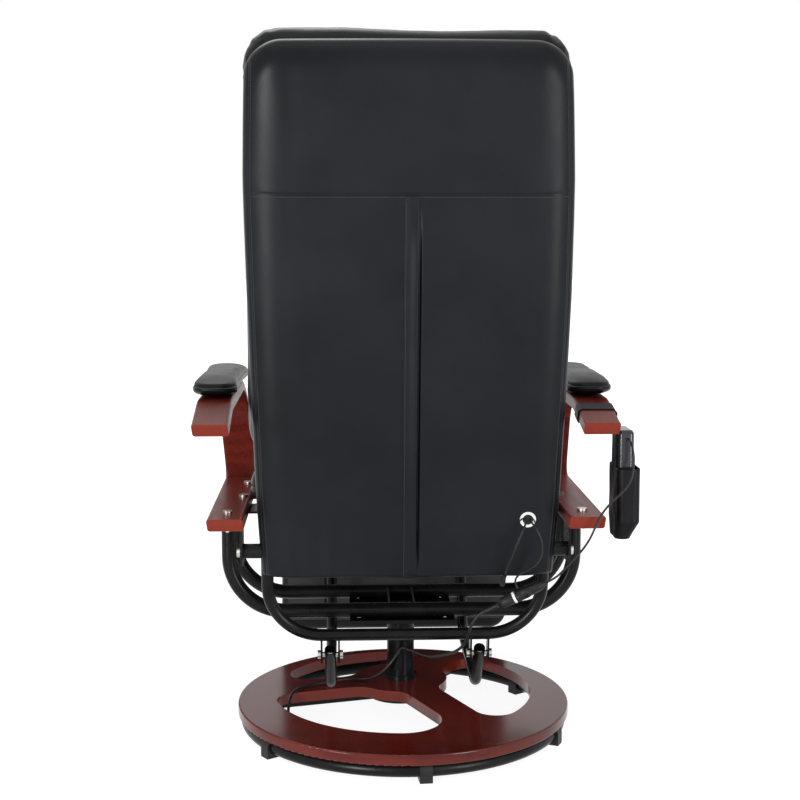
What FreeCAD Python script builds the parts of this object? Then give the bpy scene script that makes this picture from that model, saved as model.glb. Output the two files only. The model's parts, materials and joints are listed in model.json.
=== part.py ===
# High-back recliner with a linked footrest, bentwood arms and a round swivel base.
# Millimetres. Z is up, the chair faces -Y, and the origin is on the floor at the swivel axis.
import FreeCAD, Part
import math
import os

os.makedirs("parts", exist_ok=True)

# Shared values
overrun = 2.0
soft_gap = 0.3
running_fit = 0.05
weld_gap = 0.1
hole_fit = 0.1
half_share = 0.5
mm3_per_cm3 = 1000.0
right_angle = 90.0
full_turn = 360.0
quarters_per_turn = 4
sides = (1, -1)

# Wood disc of the base
disc_radius = 280.0
disc_thickness = 18.0
disc_offset = 105.0
disc_edge_fillet = 2.5
cutout_radius = 222.0
cutout_offset = 66.0
cutout_corner = 36.0
cutout_wide_corner = 66.0
hub_radius = 82.0
spoke_half_width = 31.0
spoke_angles = (15.0, 114.0, 234.0)

# Ring, glides and cross under the disc
floor_clearance = 6.0
ring_tube_radius = 11.0
ring_tube_wall = 1.5
ring_inset = 16.0
glide_count = 6
glide_width = 20.0
glide_wall = 4.0
glide_turn = -85.0
cross_bar_width = 32.0
cross_bar_height = 12.0
hub_plate_radius = 58.0
screw_radius = 3.0
screw_head_radius = 6.0
screw_head_height = 3.0
screw_depth = 12.0
screw_inset = 16.0

# Column and swivel
column_radius = 24.0
column_wall = 3.0
column_top = 165.0
collar_radius = 27.5
collar_height = 9.0
bush_height = 24.0
bush_flange = 3.0
spindle_radius = 15.0
spindle_foot = 50.0
swivel_plate_width = 180.0
swivel_plate_thickness = 6.0
channel_width = 46.0
channel_height = 22.0
channel_wall = 3.0
plate_bolt_radius = 4.0
plate_bolt_head = 7.0
plate_bolt_head_height = 5.0
plate_bolt_inset = 16.0

# Bent tubes under the seat
cross_tube_radius = 12.5
cross_tube_wall = 2.0
cross_tube_bend = 96.0
cross_tube_half_span = 296.0
cross_tube_spacing = 130.0

# Seat frame, board and cushion
seat_rail_square = 25.0
seat_rail_wall = 2.0
seat_frame_half_width = 237.5
seat_frame_front = -228.0
seat_frame_rear = 150.0
seat_frame_top = 368.0
rail_plate_thickness = 4.0
rail_plate_length = 70.0
seat_board_thickness = 15.0
seat_board_half_width = 240.0
seat_board_front = -236.0
seat_board_rear = 165.0
seat_cushion_height = 70.0
seat_cushion_half_width = 248.0
seat_cushion_front = -256.0
seat_cushion_rear = 182.0
seat_cushion_corner = 42.0
seat_cushion_crown = 12.0
seat_cushion_tuck = 12.0
seat_channel_shares = (0.299, 0.550, 0.7785)
seat_bolster_share = 0.6855
seat_bolster_end = 1.0

# Bentwood arms
arm_board_width = 57.0
arm_board_thickness = 19.0
arm_half_span = 286.5
arm_lean_share = 0.139
arm_rear = 260.0
arm_rear_height = 528.0
arm_knee = 128.0
arm_top_rear_height = 551.0
arm_top_front = -240.0
arm_top_front_height = 554.0
arm_foot_front = -158.0
arm_bend = 58.0
arm_knee_bend = 160.0
arm_edge_fillet = 4.0
arm_bolt_radius = 4.0
arm_bolt_head = 8.0
arm_bolt_head_height = 3.5

# Arm pads
pad_length = 333.0
pad_width = 77.0
pad_height = 27.0
pad_corner = 30.0
pad_tuck = 9.0
pad_crown = 5.0

# Recline pivot
pivot_rear = 205.0
pivot_height = 324.0
back_lean = 9.0
pivot_bolt_radius = 6.0
pivot_bolt_head = 10.0
pivot_bolt_head_height = 6.0
bracket_thickness = 4.0
bracket_width = 44.0
bracket_drop = 22.0
bracket_flange = 46.0

# Back frame
back_tube_radius = 10.0
back_tube_wall = 1.8
back_tube_half_span = 224.0
back_tube_bend = 88.0
back_tube_drop = 149.0
back_tube_top = 752.0
crossbar_heights_share = (0.10, 0.44, 0.82)
crossbar_radius = 8.0
boss_radius = 12.0

# Back upholstery, along and across the leaning back
back_half_width = 246.0
back_hem = -42.0
back_top = 795.0
back_cover_front = -13.0
back_cover_rear = 24.0
back_cover_crown = 8.0
cover_wall = 8.0
cover_corner = 34.0
cover_edge = 6.0
cover_cavity_rear = 12.0
seam_height = 575.0
lining_thickness = 4.0
back_cushion_foot = 132.0
back_cushion_top = 814.0
back_cushion_depth = 98.0
back_cushion_corner = 48.0
back_cushion_tuck = 14.0
back_cushion_crown = 12.0
back_channel_shares = (0.2243, 0.393, 0.5616, 0.7082)
back_bolster_share = 0.6585
back_bolster_end = 0.833
channel_radius = 14.0
channel_depth = 10.0
channel_overlap = 2.0
flap_width = 23.0
flap_thickness = 3.0
flap_offset = -3.5
flap_foot = -38.0

# Cable grommet in the back cover
grommet_side = -193.0
grommet_height = 62.0
grommet_outer = 13.0
grommet_inner = 8.5
grommet_hole = 10.0
grommet_lip = 3.0
grommet_depth = 14.0

# Push tubes and clevises
push_half_span = 123.0
clevis_drop = 184.0
clevis_thickness = 3.0
clevis_gap = 0.8
clevis_half_span = 12.8
clevis_half_width = 11.0
clevis_bolt_radius = 4.0
clevis_bolt_head = 7.0
clevis_bolt_head_height = 5.0
push_tube_radius = 9.5
push_tube_wall = 1.6
push_open_run = 14.0
push_low_rear = 118.0
push_low_height = 74.0
push_low_front = -150.0
push_low_front_height = 84.0
push_rear_bend = 34.0
push_front_bend = 60.0
push_eye_radius = 13.0
push_eye_hole = 8.5
push_eye_width = 12.0
push_eye_rear = 2.0
push_eye_drop = 3.5

# Footrest
footrest_pivot_front = -262.0
footrest_pivot_height = 350.0
footrest_crank = 71.3
footrest_crank_turn = 18.6
footrest_pin_radius = 5.0
crank_pin_radius = 4.0
footrest_bar_width = 26.0
footrest_bar_thickness = 5.0
footrest_board_thickness = 12.0
footrest_board_rear = -280.0
footrest_half_width = 222.0
footrest_board_inset = 12.0
footrest_top = 334.0
footrest_bottom = 62.0
footrest_pad_depth = 52.0
footrest_pad_corner = 34.0
footrest_pad_tuck = 12.0
footrest_pad_crown = 10.0
footrest_bracket_thickness = 5.0
footrest_bracket_width = 34.0

# Recline lever
lever_side = -251.5
lever_thickness = 4.0
lever_width = 18.0
lever_pivot_rear = 0.0
lever_pin_radius = 5.0
lever_knee_share = 0.42
lever_reach = 12.0
grip_share = 0.3
grip_width = 24.0
grip_thickness = 20.0
grip_fillet = 5.0

# Pouch and hand controller
pouch_wall = 2.5
pouch_depth = 38.0
pouch_rear = 222.0
pouch_front = 134.0
pouch_bottom = 338.0
pouch_shoulder = 368.0
pouch_rim = 456.0
pouch_corner = 12.0
pouch_taper = 26.0
strap_thickness = 2.0
strap_width = 34.0
strap_rear = 196.0
controller_thickness = 26.0
controller_width = 60.0
controller_length = 146.0
controller_foot = 371.0
controller_fillet = 7.0
controller_side_gap = 0.3
button_radius = 5.0
button_rise = 1.4
button_depth = 3.0
button_clearance = 0.4
button_floor_gap = 1.6
button_rows_share = (0.62, 0.72, 0.82)
power_button_radius = 7.0
power_button_row_share = 0.93

# Cords
lead_radius = 2.5
wire_radius = 1.6
thin_lead_radius = 1.8
cord_arc_share = 0.45
connector_radius = 10.0
coil_layer_turns = 2
coil_radius = 34.0
coil_pitch = 6.6
coil_layer_rise = 5.7
coil_front = -253.0
coil_tail = 30.0
coil_slope_share = 0.001
connector_lead_gap = 0.95
connector_tip_radius = 3.0
plug_length = 30.0
plug_width = 24.0
blade_length = 16.0
blade_width = 6.2
blade_thickness = 1.5
blade_spacing = 12.7

# Derived places
disc_bottom = floor_clearance + ring_tube_radius + ring_tube_radius
disc_top = disc_bottom + disc_thickness
ring_radius = disc_radius - ring_inset
ring_height = floor_clearance + ring_tube_radius
plate_bottom = column_top + bush_flange + soft_gap
plate_top = plate_bottom + swivel_plate_thickness
cross_tube_height = plate_top + cross_tube_radius
cross_tube_offset = cross_tube_spacing * half_share
plate_level = seat_frame_top - rail_plate_thickness
arm_bottom = seat_frame_top
arm_middle = arm_bottom + arm_board_thickness * half_share
board_top = seat_frame_top + seat_board_thickness
lever_pivot_height = seat_frame_top - seat_rail_square * half_share
lever_room = arm_top_rear_height - arm_board_thickness * half_share - arm_bottom - arm_board_thickness
lever_knee_height = arm_bottom + arm_board_thickness + lever_room * lever_knee_share
grip_length = lever_room * grip_share
pivot = FreeCAD.Vector(0, pivot_rear, pivot_height)
bracket_inner = arm_half_span - arm_board_width * half_share + bracket_thickness


def vec(x, y, z):
    return FreeCAD.Vector(x, y, z)


def block(x0, x1, y0, y1, z0, z1):
    return Part.makeBox(x1 - x0, y1 - y0, z1 - z0, vec(x0, y0, z0))


def rod(start, end, radius):
    return Part.makeCylinder(radius, start.distanceToPoint(end), start, end - start)


def mirrored(shape):
    return shape.mirror(vec(0, 0, 0), vec(1, 0, 0))


def moved(shape, offset):
    copy = shape.copy()
    copy.translate(offset)
    return copy


def turned(shape, centre, axis, angle):
    copy = shape.copy()
    copy.rotate(centre, axis, angle)
    return copy


def leaned(shape):
    # The back is drawn upright about its pivot and leans to the rear afterwards.
    return turned(shape, pivot, vec(-1, 0, 0), back_lean)


def lean_point(across, side, up):
    start = vec(side, pivot_rear + across, pivot_height + up)
    turn = FreeCAD.Rotation(vec(-1, 0, 0), back_lean)
    return pivot + turn.multVec(start - pivot)


def save(name, shapes):
    solids = []
    for shape in shapes:
        solids.extend(shape.Solids)
    whole = solids[0] if len(solids) == 1 else Part.makeCompound(solids)
    whole.exportStep("parts/" + name + ".step")
    volume = sum(solid.Volume for solid in solids)
    print(name, len(solids), "solids", round(volume / mm3_per_cm3, 1), "cm3")


def path_wire(points, bends):
    # Straight runs joined by tangent arcs of the given radii.
    edges = []
    start = points[0]
    for index in range(1, len(points) - 1):
        corner = points[index]
        before = (points[index - 1] - corner).normalize()
        after = (points[index + 1] - corner).normalize()
        half_turn = (math.pi - before.getAngle(after)) * half_share
        reach = bends[index - 1] * math.tan(half_turn)
        first = corner + before * reach
        last = corner + after * reach
        middle = (before + after).normalize()
        depth = bends[index - 1] / math.cos(half_turn) - bends[index - 1]
        edges.append(Part.LineSegment(start, first).toShape())
        edges.append(Part.Arc(first, corner + middle * depth, last).toShape())
        start = last
    edges.append(Part.LineSegment(start, points[-1]).toShape())
    return Part.Wire(edges)


def swept(points, bends, radius):
    wire = path_wire(points, bends)
    circle = Part.Wire(Part.makeCircle(radius, points[0], points[1] - points[0]))
    return wire.makePipeShell([circle], True, False)


def hollow_tube(points, bends, radius, wall):
    return swept(points, bends, radius).cut(swept(points, bends, radius - wall))


def cord_bends(points):
    radii = []
    for index in range(1, len(points) - 1):
        before = points[index - 1] - points[index]
        after = points[index + 1] - points[index]
        turn = math.pi - before.getAngle(after)
        shorter = min(before.Length, after.Length)
        radii.append(cord_arc_share * shorter / math.tan(turn * half_share))
    return radii


def cord(name, points, radius):
    bends = cord_bends(points)
    shape = swept(points, bends, radius)
    length = path_wire(points, bends).Length
    section = math.pi * radius * radius
    print(name, "length", round(length), "bends", [round(bend) for bend in bends],
          "volume share", round(shape.Volume / (section * length), 4))
    return shape


def rounded_wire(x0, x1, y0, y1, z, corner):
    # A level rectangle with round corners, wound the same way each time.
    points = (vec(x0 + corner, y0, z), vec(x1 - corner, y0, z), vec(x1, y0 + corner, z),
              vec(x1, y1 - corner, z), vec(x1 - corner, y1, z), vec(x0 + corner, y1, z),
              vec(x0, y1 - corner, z), vec(x0, y0 + corner, z))
    centres = (vec(x1 - corner, y0 + corner, z), vec(x1 - corner, y1 - corner, z),
               vec(x0 + corner, y1 - corner, z), vec(x0 + corner, y0 + corner, z))
    edges = []
    for index in range(len(centres)):
        first = points[2 * index]
        last = points[2 * index + 1]
        after = points[(2 * index + 2) % len(points)]
        outward = ((last - centres[index]) + (after - centres[index])).normalize()
        edges.append(Part.LineSegment(first, last).toShape())
        edges.append(Part.Arc(last, centres[index] + outward * corner, after).toShape())
    return Part.Wire(edges)


cushion_height_shares = (0.0, 0.10, 0.30, 0.55, 0.76, 0.90, 1.0)
cushion_tuck_shares = (1.0, 0.45, 0.0, 0.0, 0.40, 1.15, 2.6)
crown_share = 0.34


def cushion(x0, x1, y0, y1, z0, height, corner, tuck, crown, tuck_shares=cushion_tuck_shares):
    # Level sections are drawn in at the foot and the top, and a crown stands on the last one.
    wires = []
    for rise, pull in zip(cushion_height_shares, tuck_shares):
        inset = tuck * pull
        wires.append(rounded_wire(x0 + inset, x1 - inset, y0 + inset, y1 - inset,
                                  z0 + height * rise, corner))
    body = Part.makeLoft(wires, True, True)
    inset = tuck * tuck_shares[-1]
    spread_x = (x1 - x0) * crown_share * half_share
    spread_y = (y1 - y0) * crown_share * half_share
    low = rounded_wire(x0 + inset, x1 - inset, y0 + inset, y1 - inset, z0 + height, corner)
    high = rounded_wire(x0 + inset + spread_x, x1 - inset - spread_x, y0 + inset + spread_y,
                        y1 - inset - spread_y, z0 + height + crown, corner * crown_share)
    return body.fuse(Part.makeLoft([low, high], True, True)).removeSplitter()


def crown_part(offset, half_span, tuck):
    # Share of the crown's full height at that distance from the cushion's middle.
    edge = half_span - tuck * cushion_tuck_shares[-1]
    return min(1.0, max(0.0, (edge - abs(offset)) / (half_span * crown_share)))


def channel_line(points):
    rods = []
    for first, last in zip(points, points[1:]):
        reach = (last - first).normalize() * channel_overlap
        rods.append(rod(first - reach, last + reach, channel_radius))
    return rods


def sewn_channels(half, y0, y1, top, tuck, crown, shares, bolster_share, end_share):
    # Channels run across between two long seams, all of them sunk by the same depth.
    length = y1 - y0
    middle = y0 + length * half_share
    half_length = length * half_share
    inset = tuck * cushion_tuck_shares[-1]
    level = top + channel_radius - channel_depth
    seam = half * bolster_share
    flat = half - inset - half * crown_share
    tools = []
    for share in shares:
        y = y0 + length * share
        most = crown_part(y - middle, half_length, tuck)
        tools += channel_line([vec(x, y, level + crown * min(most, crown_part(x, half, tuck)))
                               for x in (-seam, -flat, flat, seam)])
    most = crown_part(seam, half, tuck)
    kink = half_length - inset - half_length * crown_share * most
    end = y0 + length * end_share
    places = [y for y in (y0, y0 + inset, middle - kink, middle + kink, y1 - inset) if y < end] + [end]
    for side in (-seam, seam):
        tools += channel_line([vec(side, y, level + crown * min(most, crown_part(y - middle, half_length,
                                                                                 tuck)))
                               for y in places])
    return tools


def ring_distance(angle):
    # Distance from the column axis to the ring's centre line, along one spoke.
    across = disc_offset * math.cos(angle)
    along = disc_offset * math.sin(angle)
    return along + math.sqrt(ring_radius * ring_radius - across * across)


def spoke_direction(degrees):
    angle = math.radians(degrees)
    return vec(math.cos(angle), math.sin(angle), 0)


def spoke_screws():
    places = []
    for degrees in spoke_angles:
        direction = spoke_direction(degrees)
        reach = ring_distance(math.radians(degrees)) - ring_tube_radius - screw_inset
        places.append(direction * reach)
        places.append(direction * (hub_radius - screw_inset))
    return places


def upright_edges(shape):
    return [edge for edge in shape.Edges if abs(edge.tangentAt(edge.FirstParameter).z) > half_share]


def corner_depth(edge):
    return edge.CenterOfMass.y


def base_disc():
    disc = Part.makeCylinder(disc_radius, disc_thickness, vec(0, disc_offset, disc_bottom))
    rims = [edge for edge in disc.Edges if edge.Closed and edge.Length > disc_radius]
    disc = disc.makeFillet(disc_edge_fillet, rims)
    low = disc_bottom - overrun
    depth = disc_thickness + overrun + overrun
    opening = Part.makeCylinder(cutout_radius, depth, vec(0, cutout_offset, low))
    opening = opening.cut(Part.makeCylinder(hub_radius, depth, vec(0, 0, low)))
    for degrees in spoke_angles:
        spoke = block(0, disc_radius + disc_offset, -spoke_half_width, spoke_half_width, low, low + depth)
        opening = opening.cut(turned(spoke, vec(0, 0, 0), vec(0, 0, 1), degrees))
    rearmost = max(upright_edges(opening), key=corner_depth)
    for cutout in opening.Solids:
        uprights = upright_edges(cutout)
        wide = [edge for edge in uprights if corner_depth(edge) > corner_depth(rearmost) - overrun]
        cutout = cutout.makeFillet(cutout_corner, [edge for edge in uprights if edge not in wide])
        if wide:
            last = max(upright_edges(cutout), key=corner_depth)
            cutout = cutout.makeFillet(cutout_wide_corner, [last])
        disc = disc.cut(cutout)
    disc = disc.cut(Part.makeCylinder(column_radius + hole_fit, depth, vec(0, 0, low)))
    for place in spoke_screws():
        foot = vec(place.x, place.y, low)
        head = vec(place.x, place.y, disc_bottom + screw_depth)
        disc = disc.cut(rod(foot, head, screw_radius + running_fit))
    return disc


def base_ring():
    centre = vec(0, disc_offset, ring_height)
    outer = Part.makeTorus(ring_radius, ring_tube_radius, centre)
    return outer.cut(Part.makeTorus(ring_radius, ring_tube_radius - ring_tube_wall, centre))


def base_cross():
    low = disc_bottom - cross_bar_height
    cross = Part.makeCylinder(hub_plate_radius, cross_bar_height, vec(0, 0, low))
    for degrees in spoke_angles:
        reach = ring_distance(math.radians(degrees))
        side = cross_bar_width * half_share
        bar = block(0, reach, -side, side, low, disc_bottom)
        cross = cross.fuse(turned(bar, vec(0, 0, 0), vec(0, 0, 1), degrees))
    rim = Part.makeTorus(ring_radius, ring_tube_radius + weld_gap, vec(0, disc_offset, ring_height))
    cross = cross.cut(rim)
    for place in spoke_screws():
        foot = vec(place.x, place.y, low - overrun)
        head = vec(place.x, place.y, disc_bottom + overrun)
        cross = cross.cut(rod(foot, head, screw_radius + running_fit))
    return max(cross.Solids, key=lambda solid: solid.Volume)


def base_screws():
    screws = []
    low = disc_bottom - cross_bar_height
    for place in spoke_screws():
        seat = vec(place.x, place.y, low)
        tip = vec(place.x, place.y, disc_bottom + screw_depth)
        under = vec(place.x, place.y, low - screw_head_height)
        screws.append(rod(seat, tip, screw_radius).fuse(rod(under, seat, screw_head_radius)))
    return screws


def base_glides():
    glides = []
    outer = ring_tube_radius + glide_wall
    side = glide_width * half_share
    for index in range(glide_count):
        degrees = glide_turn + index * full_turn / glide_count
        across = vec(0, 1, 0)
        centre = vec(ring_radius, 0, ring_height)
        shell = rod(centre - across * side, centre + across * side, outer)
        foot = block(ring_radius - outer, ring_radius + outer, -side, side, 0, ring_height)
        clip = shell.fuse(foot).common(block(ring_radius - outer, ring_radius + outer, -side, side,
                                             0, disc_bottom - soft_gap))
        clip = moved(turned(clip, vec(0, 0, 0), vec(0, 0, 1), degrees), vec(0, disc_offset, 0))
        bore = Part.makeTorus(ring_radius, ring_tube_radius + weld_gap, vec(0, disc_offset, ring_height))
        glides.append(max(clip.cut(bore).Solids, key=lambda solid: solid.Volume))
    return glides


def column():
    height = column_top - disc_bottom
    tube = Part.makeCylinder(column_radius, height, vec(0, 0, disc_bottom))
    collar = Part.makeCylinder(collar_radius, collar_height, vec(0, 0, disc_top))
    bore = Part.makeCylinder(column_radius - column_wall, height + overrun + overrun,
                             vec(0, 0, disc_bottom - overrun))
    return tube.fuse(collar).cut(bore)


def swivel_bushes():
    outer = column_radius - column_wall - running_fit
    low = spindle_foot
    bushes = []
    lower = Part.makeCylinder(outer, bush_height, vec(0, 0, low))
    upper = Part.makeCylinder(outer, bush_height, vec(0, 0, column_top - bush_height))
    upper = upper.fuse(Part.makeCylinder(column_radius, bush_flange, vec(0, 0, column_top)))
    bore = Part.makeCylinder(spindle_radius + running_fit, column_top, vec(0, 0, low - overrun))
    for bush in (lower, upper):
        bushes.append(bush.cut(bore))
    return bushes


def swivel_spindle():
    return Part.makeCylinder(spindle_radius, plate_bottom - spindle_foot, vec(0, 0, spindle_foot))


def plate_bolt_places():
    across = swivel_plate_width * half_share - plate_bolt_inset
    return [(side * across, end * cross_tube_offset) for side in sides for end in sides]


def swivel_plate():
    half = swivel_plate_width * half_share
    plate = block(-half, half, -half, half, plate_bottom, plate_top)
    for x, y in plate_bolt_places():
        low = vec(x, y, plate_bottom - overrun)
        plate = plate.cut(rod(low, vec(x, y, plate_top + overrun), plate_bolt_radius + running_fit))
    return plate


def swivel_channel():
    side = channel_width * half_share
    reach = cross_tube_offset - cross_tube_radius - hole_fit
    high = plate_top + channel_height
    body = block(-side, side, -reach, reach, plate_top, high)
    hollow = block(-side + channel_wall, side - channel_wall, -reach - overrun, reach + overrun,
                   plate_top + channel_wall, high + overrun)
    return body.cut(hollow)


def cross_tube(offset):
    points = (vec(cross_tube_half_span, offset, plate_level),
              vec(cross_tube_half_span, offset, cross_tube_height),
              vec(-cross_tube_half_span, offset, cross_tube_height),
              vec(-cross_tube_half_span, offset, plate_level))
    tube = hollow_tube(points, (cross_tube_bend, cross_tube_bend), cross_tube_radius, cross_tube_wall)
    for x, y in plate_bolt_places():
        low = vec(x, y, plate_bottom)
        tube = tube.cut(rod(low, vec(x, y, cross_tube_height), plate_bolt_radius + running_fit))
    return tube


def bolt(head, seat, tip, radius, head_radius):
    return rod(head, seat, head_radius).fuse(rod(seat, tip, radius))


def arm_bolt_side():
    return arm_half_span - arm_board_width * half_share + arm_bolt_head + arm_edge_fillet


def arm_bolt_places():
    return [(arm_bolt_side(), -cross_tube_offset), (arm_bolt_side(), cross_tube_offset),
            (arm_half_span, pivot_rear)]


def lever_pin():
    inner = -seat_frame_half_width + seat_rail_wall
    outer = lever_side - lever_thickness * half_share
    stem = rod(vec(inner, lever_pivot_rear, lever_pivot_height),
               vec(outer, lever_pivot_rear, lever_pivot_height), lever_pin_radius)
    spacer = rod(vec(-seat_frame_half_width, lever_pivot_rear, lever_pivot_height),
                 vec(lever_side + lever_thickness * half_share + soft_gap, lever_pivot_rear,
                     lever_pivot_height),
                 lever_width * half_share)
    return stem.fuse(spacer)


def seat_bolts():
    bolts = [lever_pin()]
    for x, y in plate_bolt_places():
        seat = vec(x, y, plate_bottom)
        head = vec(x, y, plate_bottom - plate_bolt_head_height)
        bolts.append(bolt(head, seat, vec(x, y, cross_tube_height - plate_bolt_radius), plate_bolt_radius,
                          plate_bolt_head))
    top = arm_bottom + arm_board_thickness
    for side in sides:
        for x, y in arm_bolt_places():
            seat = vec(side * x, y, top)
            head = vec(side * x, y, top + arm_bolt_head_height)
            tip = vec(side * x, y, plate_level - arm_bolt_head)
            bolts.append(bolt(head, seat, tip, arm_bolt_radius, arm_bolt_head))
    return bolts


def seat_frame():
    half = seat_frame_half_width
    low = seat_frame_top - seat_rail_square
    frame = block(-half, half, seat_frame_front, seat_frame_rear, low, seat_frame_top)
    wall = seat_rail_wall
    frame = frame.cut(block(-half + wall, half - wall, seat_frame_front + wall, seat_frame_rear - wall,
                            low - overrun, seat_frame_top - wall))
    ledge = seat_rail_square
    frame = frame.cut(block(-half + ledge, half - ledge, seat_frame_front + ledge, seat_frame_rear - ledge,
                            low, seat_frame_top + overrun))
    hole = rod(vec(-half - overrun, lever_pivot_rear, lever_pivot_height),
               vec(-half + wall + overrun, lever_pivot_rear, lever_pivot_height),
               lever_pin_radius + running_fit)
    return frame.cut(hole)


def rail_plates():
    plates = []
    side = rail_plate_length * half_share
    outer = cross_tube_half_span + cross_tube_radius
    for end in sides:
        centre = end * cross_tube_offset
        plate = block(seat_frame_half_width, outer, centre - side, centre + side, plate_level,
                      seat_frame_top)
        x = arm_bolt_side()
        low = vec(x, centre, plate_level - overrun)
        plate = plate.cut(rod(low, vec(x, centre, seat_frame_top + overrun), arm_bolt_radius + running_fit))
        plates.append(plate)
        plates.append(mirrored(plate))
    return plates


def seat_board():
    half = seat_board_half_width
    return block(-half, half, seat_board_front, seat_board_rear, seat_frame_top, board_top)


def seat_cushion():
    half = seat_cushion_half_width
    foot = board_top + soft_gap
    body = cushion(-half, half, seat_cushion_front, seat_cushion_rear, foot, seat_cushion_height,
                   seat_cushion_corner, seat_cushion_tuck, seat_cushion_crown)
    return body.cut(sewn_channels(half, seat_cushion_front, seat_cushion_rear, foot + seat_cushion_height,
                                  seat_cushion_tuck, seat_cushion_crown, seat_channel_shares,
                                  seat_bolster_share, seat_bolster_end))


def arm_loop(grow):
    # The board is bent in a plane and then leans outwards with its height.
    points = (vec(arm_half_span, arm_rear, arm_middle), vec(arm_half_span, arm_foot_front, arm_middle),
              vec(arm_half_span, arm_top_front, arm_top_front_height),
              vec(arm_half_span, arm_knee, arm_top_rear_height),
              vec(arm_half_span, arm_rear, arm_rear_height))
    width = arm_board_width + grow + grow
    height = arm_board_thickness + grow + grow
    level = rounded_wire(arm_half_span - width * half_share, arm_half_span + width * half_share,
                         -height * half_share, height * half_share, 0, arm_edge_fillet + grow)
    section = level.copy()
    section.rotate(vec(0, 0, 0), vec(1, 0, 0), right_angle)
    section.translate(vec(0, arm_rear, arm_middle))
    board = path_wire(points, (arm_bend, arm_bend, arm_knee_bend)).makePipeShell([section], True, False)
    lean = FreeCAD.Matrix(1, 0, arm_lean_share, -arm_lean_share * arm_middle, 0, 1, 0, 0, 0, 0, 1, 0, 0, 0,
                          0, 1)
    return board.transformGeometry(lean)


def arm():
    board = arm_loop(0)
    for x, y in arm_bolt_places():
        low = vec(x, y, arm_bottom - overrun)
        high = vec(x, y, arm_bottom + arm_board_thickness + overrun)
        board = board.cut(rod(low, high, arm_bolt_radius + running_fit))
    return board


def arm_pad():
    seat = arm_top_rear_height + arm_board_thickness * half_share + soft_gap
    middle = arm_half_span + arm_lean_share * (seat - arm_middle)
    half = pad_width * half_share
    pad = cushion(middle - half, middle + half, arm_knee - pad_length, arm_knee, seat, pad_height,
                  pad_corner, pad_tuck, pad_crown)
    rise = arm_top_front_height - arm_top_rear_height
    slope = math.degrees(math.atan2(rise, arm_knee - arm_top_front))
    return turned(pad, vec(middle, arm_knee, seat), vec(-1, 0, 0), slope)


def recline_bracket():
    low = pivot_height - bracket_drop
    side = bracket_width * half_share
    inner = bracket_inner
    web = block(inner, inner + bracket_thickness, pivot_rear - side, pivot_rear + side, low, plate_level)
    flange = block(inner, inner + bracket_flange, pivot_rear - side, pivot_rear + side, plate_level,
                   seat_frame_top)
    bracket = web.fuse(flange)
    hole = rod(vec(inner - overrun, pivot_rear, pivot_height),
               vec(inner + bracket_thickness + overrun, pivot_rear, pivot_height),
               pivot_bolt_radius + running_fit)
    low_point = vec(arm_half_span, pivot_rear, plate_level - overrun)
    screw = rod(low_point, vec(arm_half_span, pivot_rear, seat_frame_top + overrun),
                arm_bolt_radius + running_fit)
    return bracket.cut(hole).cut(screw).removeSplitter()


def pivot_bolt():
    outer = bracket_inner + bracket_thickness
    tip = back_tube_half_span + back_tube_radius + soft_gap
    return bolt(vec(outer + pivot_bolt_head_height, pivot_rear, pivot_height),
                vec(outer, pivot_rear, pivot_height),
                vec(tip, pivot_rear, pivot_height), pivot_bolt_radius, pivot_bolt_head)


def back_frame():
    half = back_tube_half_span
    points = (vec(half, pivot_rear, pivot_height + back_tube_top),
              vec(half, pivot_rear, pivot_height - back_tube_drop),
              vec(-half, pivot_rear, pivot_height - back_tube_drop),
              vec(-half, pivot_rear, pivot_height + back_tube_top))
    return leaned(hollow_tube(points, (back_tube_bend, back_tube_bend), back_tube_radius, back_tube_wall))


def back_leg(side, grow):
    return rod(vec(side * back_tube_half_span, pivot_rear, pivot_height - back_tube_drop),
               vec(side * back_tube_half_span, pivot_rear, pivot_height + back_tube_top),
               back_tube_radius + grow)


def back_crossbars():
    bars = []
    for share in crossbar_heights_share:
        height = pivot_height + share * back_tube_top
        bar = rod(vec(-back_tube_half_span, pivot_rear, height),
                  vec(back_tube_half_span, pivot_rear, height),
                  crossbar_radius)
        for side in sides:
            bar = bar.cut(back_leg(side, weld_gap))
        bars.append(leaned(max(bar.Solids, key=lambda solid: solid.Volume)))
    return bars


def back_pivot(side):
    start = vec(side * back_tube_half_span, pivot_rear, pivot_height)
    end = vec(side * (bracket_inner - soft_gap), pivot_rear, pivot_height)
    boss = rod(start, end, boss_radius).cut(back_leg(side, weld_gap))
    boss = max(boss.Solids, key=lambda solid: abs(solid.CenterOfMass.x))
    return leaned(boss.cut(rod(start, end + vec(side * overrun, 0, 0), pivot_bolt_radius + running_fit)))


def back_lining():
    half = back_half_width - cover_wall - soft_gap
    rear = pivot_rear + back_cover_front
    return leaned(block(-half, half, rear - lining_thickness, rear, pivot_height + back_hem,
                        pivot_height + back_top - cover_wall))


def back_cushion():
    # Drawn lying down with its crown upwards, then stood up facing the front.
    half = back_half_width
    body = cushion(-half, half, back_cushion_foot, back_cushion_top, 0, back_cushion_depth,
                   back_cushion_corner, back_cushion_tuck, back_cushion_crown)
    body = body.cut(sewn_channels(half, back_cushion_foot, back_cushion_top, back_cushion_depth,
                                  back_cushion_tuck, back_cushion_crown, back_channel_shares,
                                  back_bolster_share, back_bolster_end))
    body = turned(body, vec(0, 0, 0), vec(1, 0, 0), right_angle)
    front = back_cover_front - lining_thickness - soft_gap
    return leaned(moved(body, pivot + vec(0, front, 0)))


cover_tuck_shares = (0.0, 0.0, 0.0, 0.0, 0.30, 1.0, 2.6)


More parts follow.
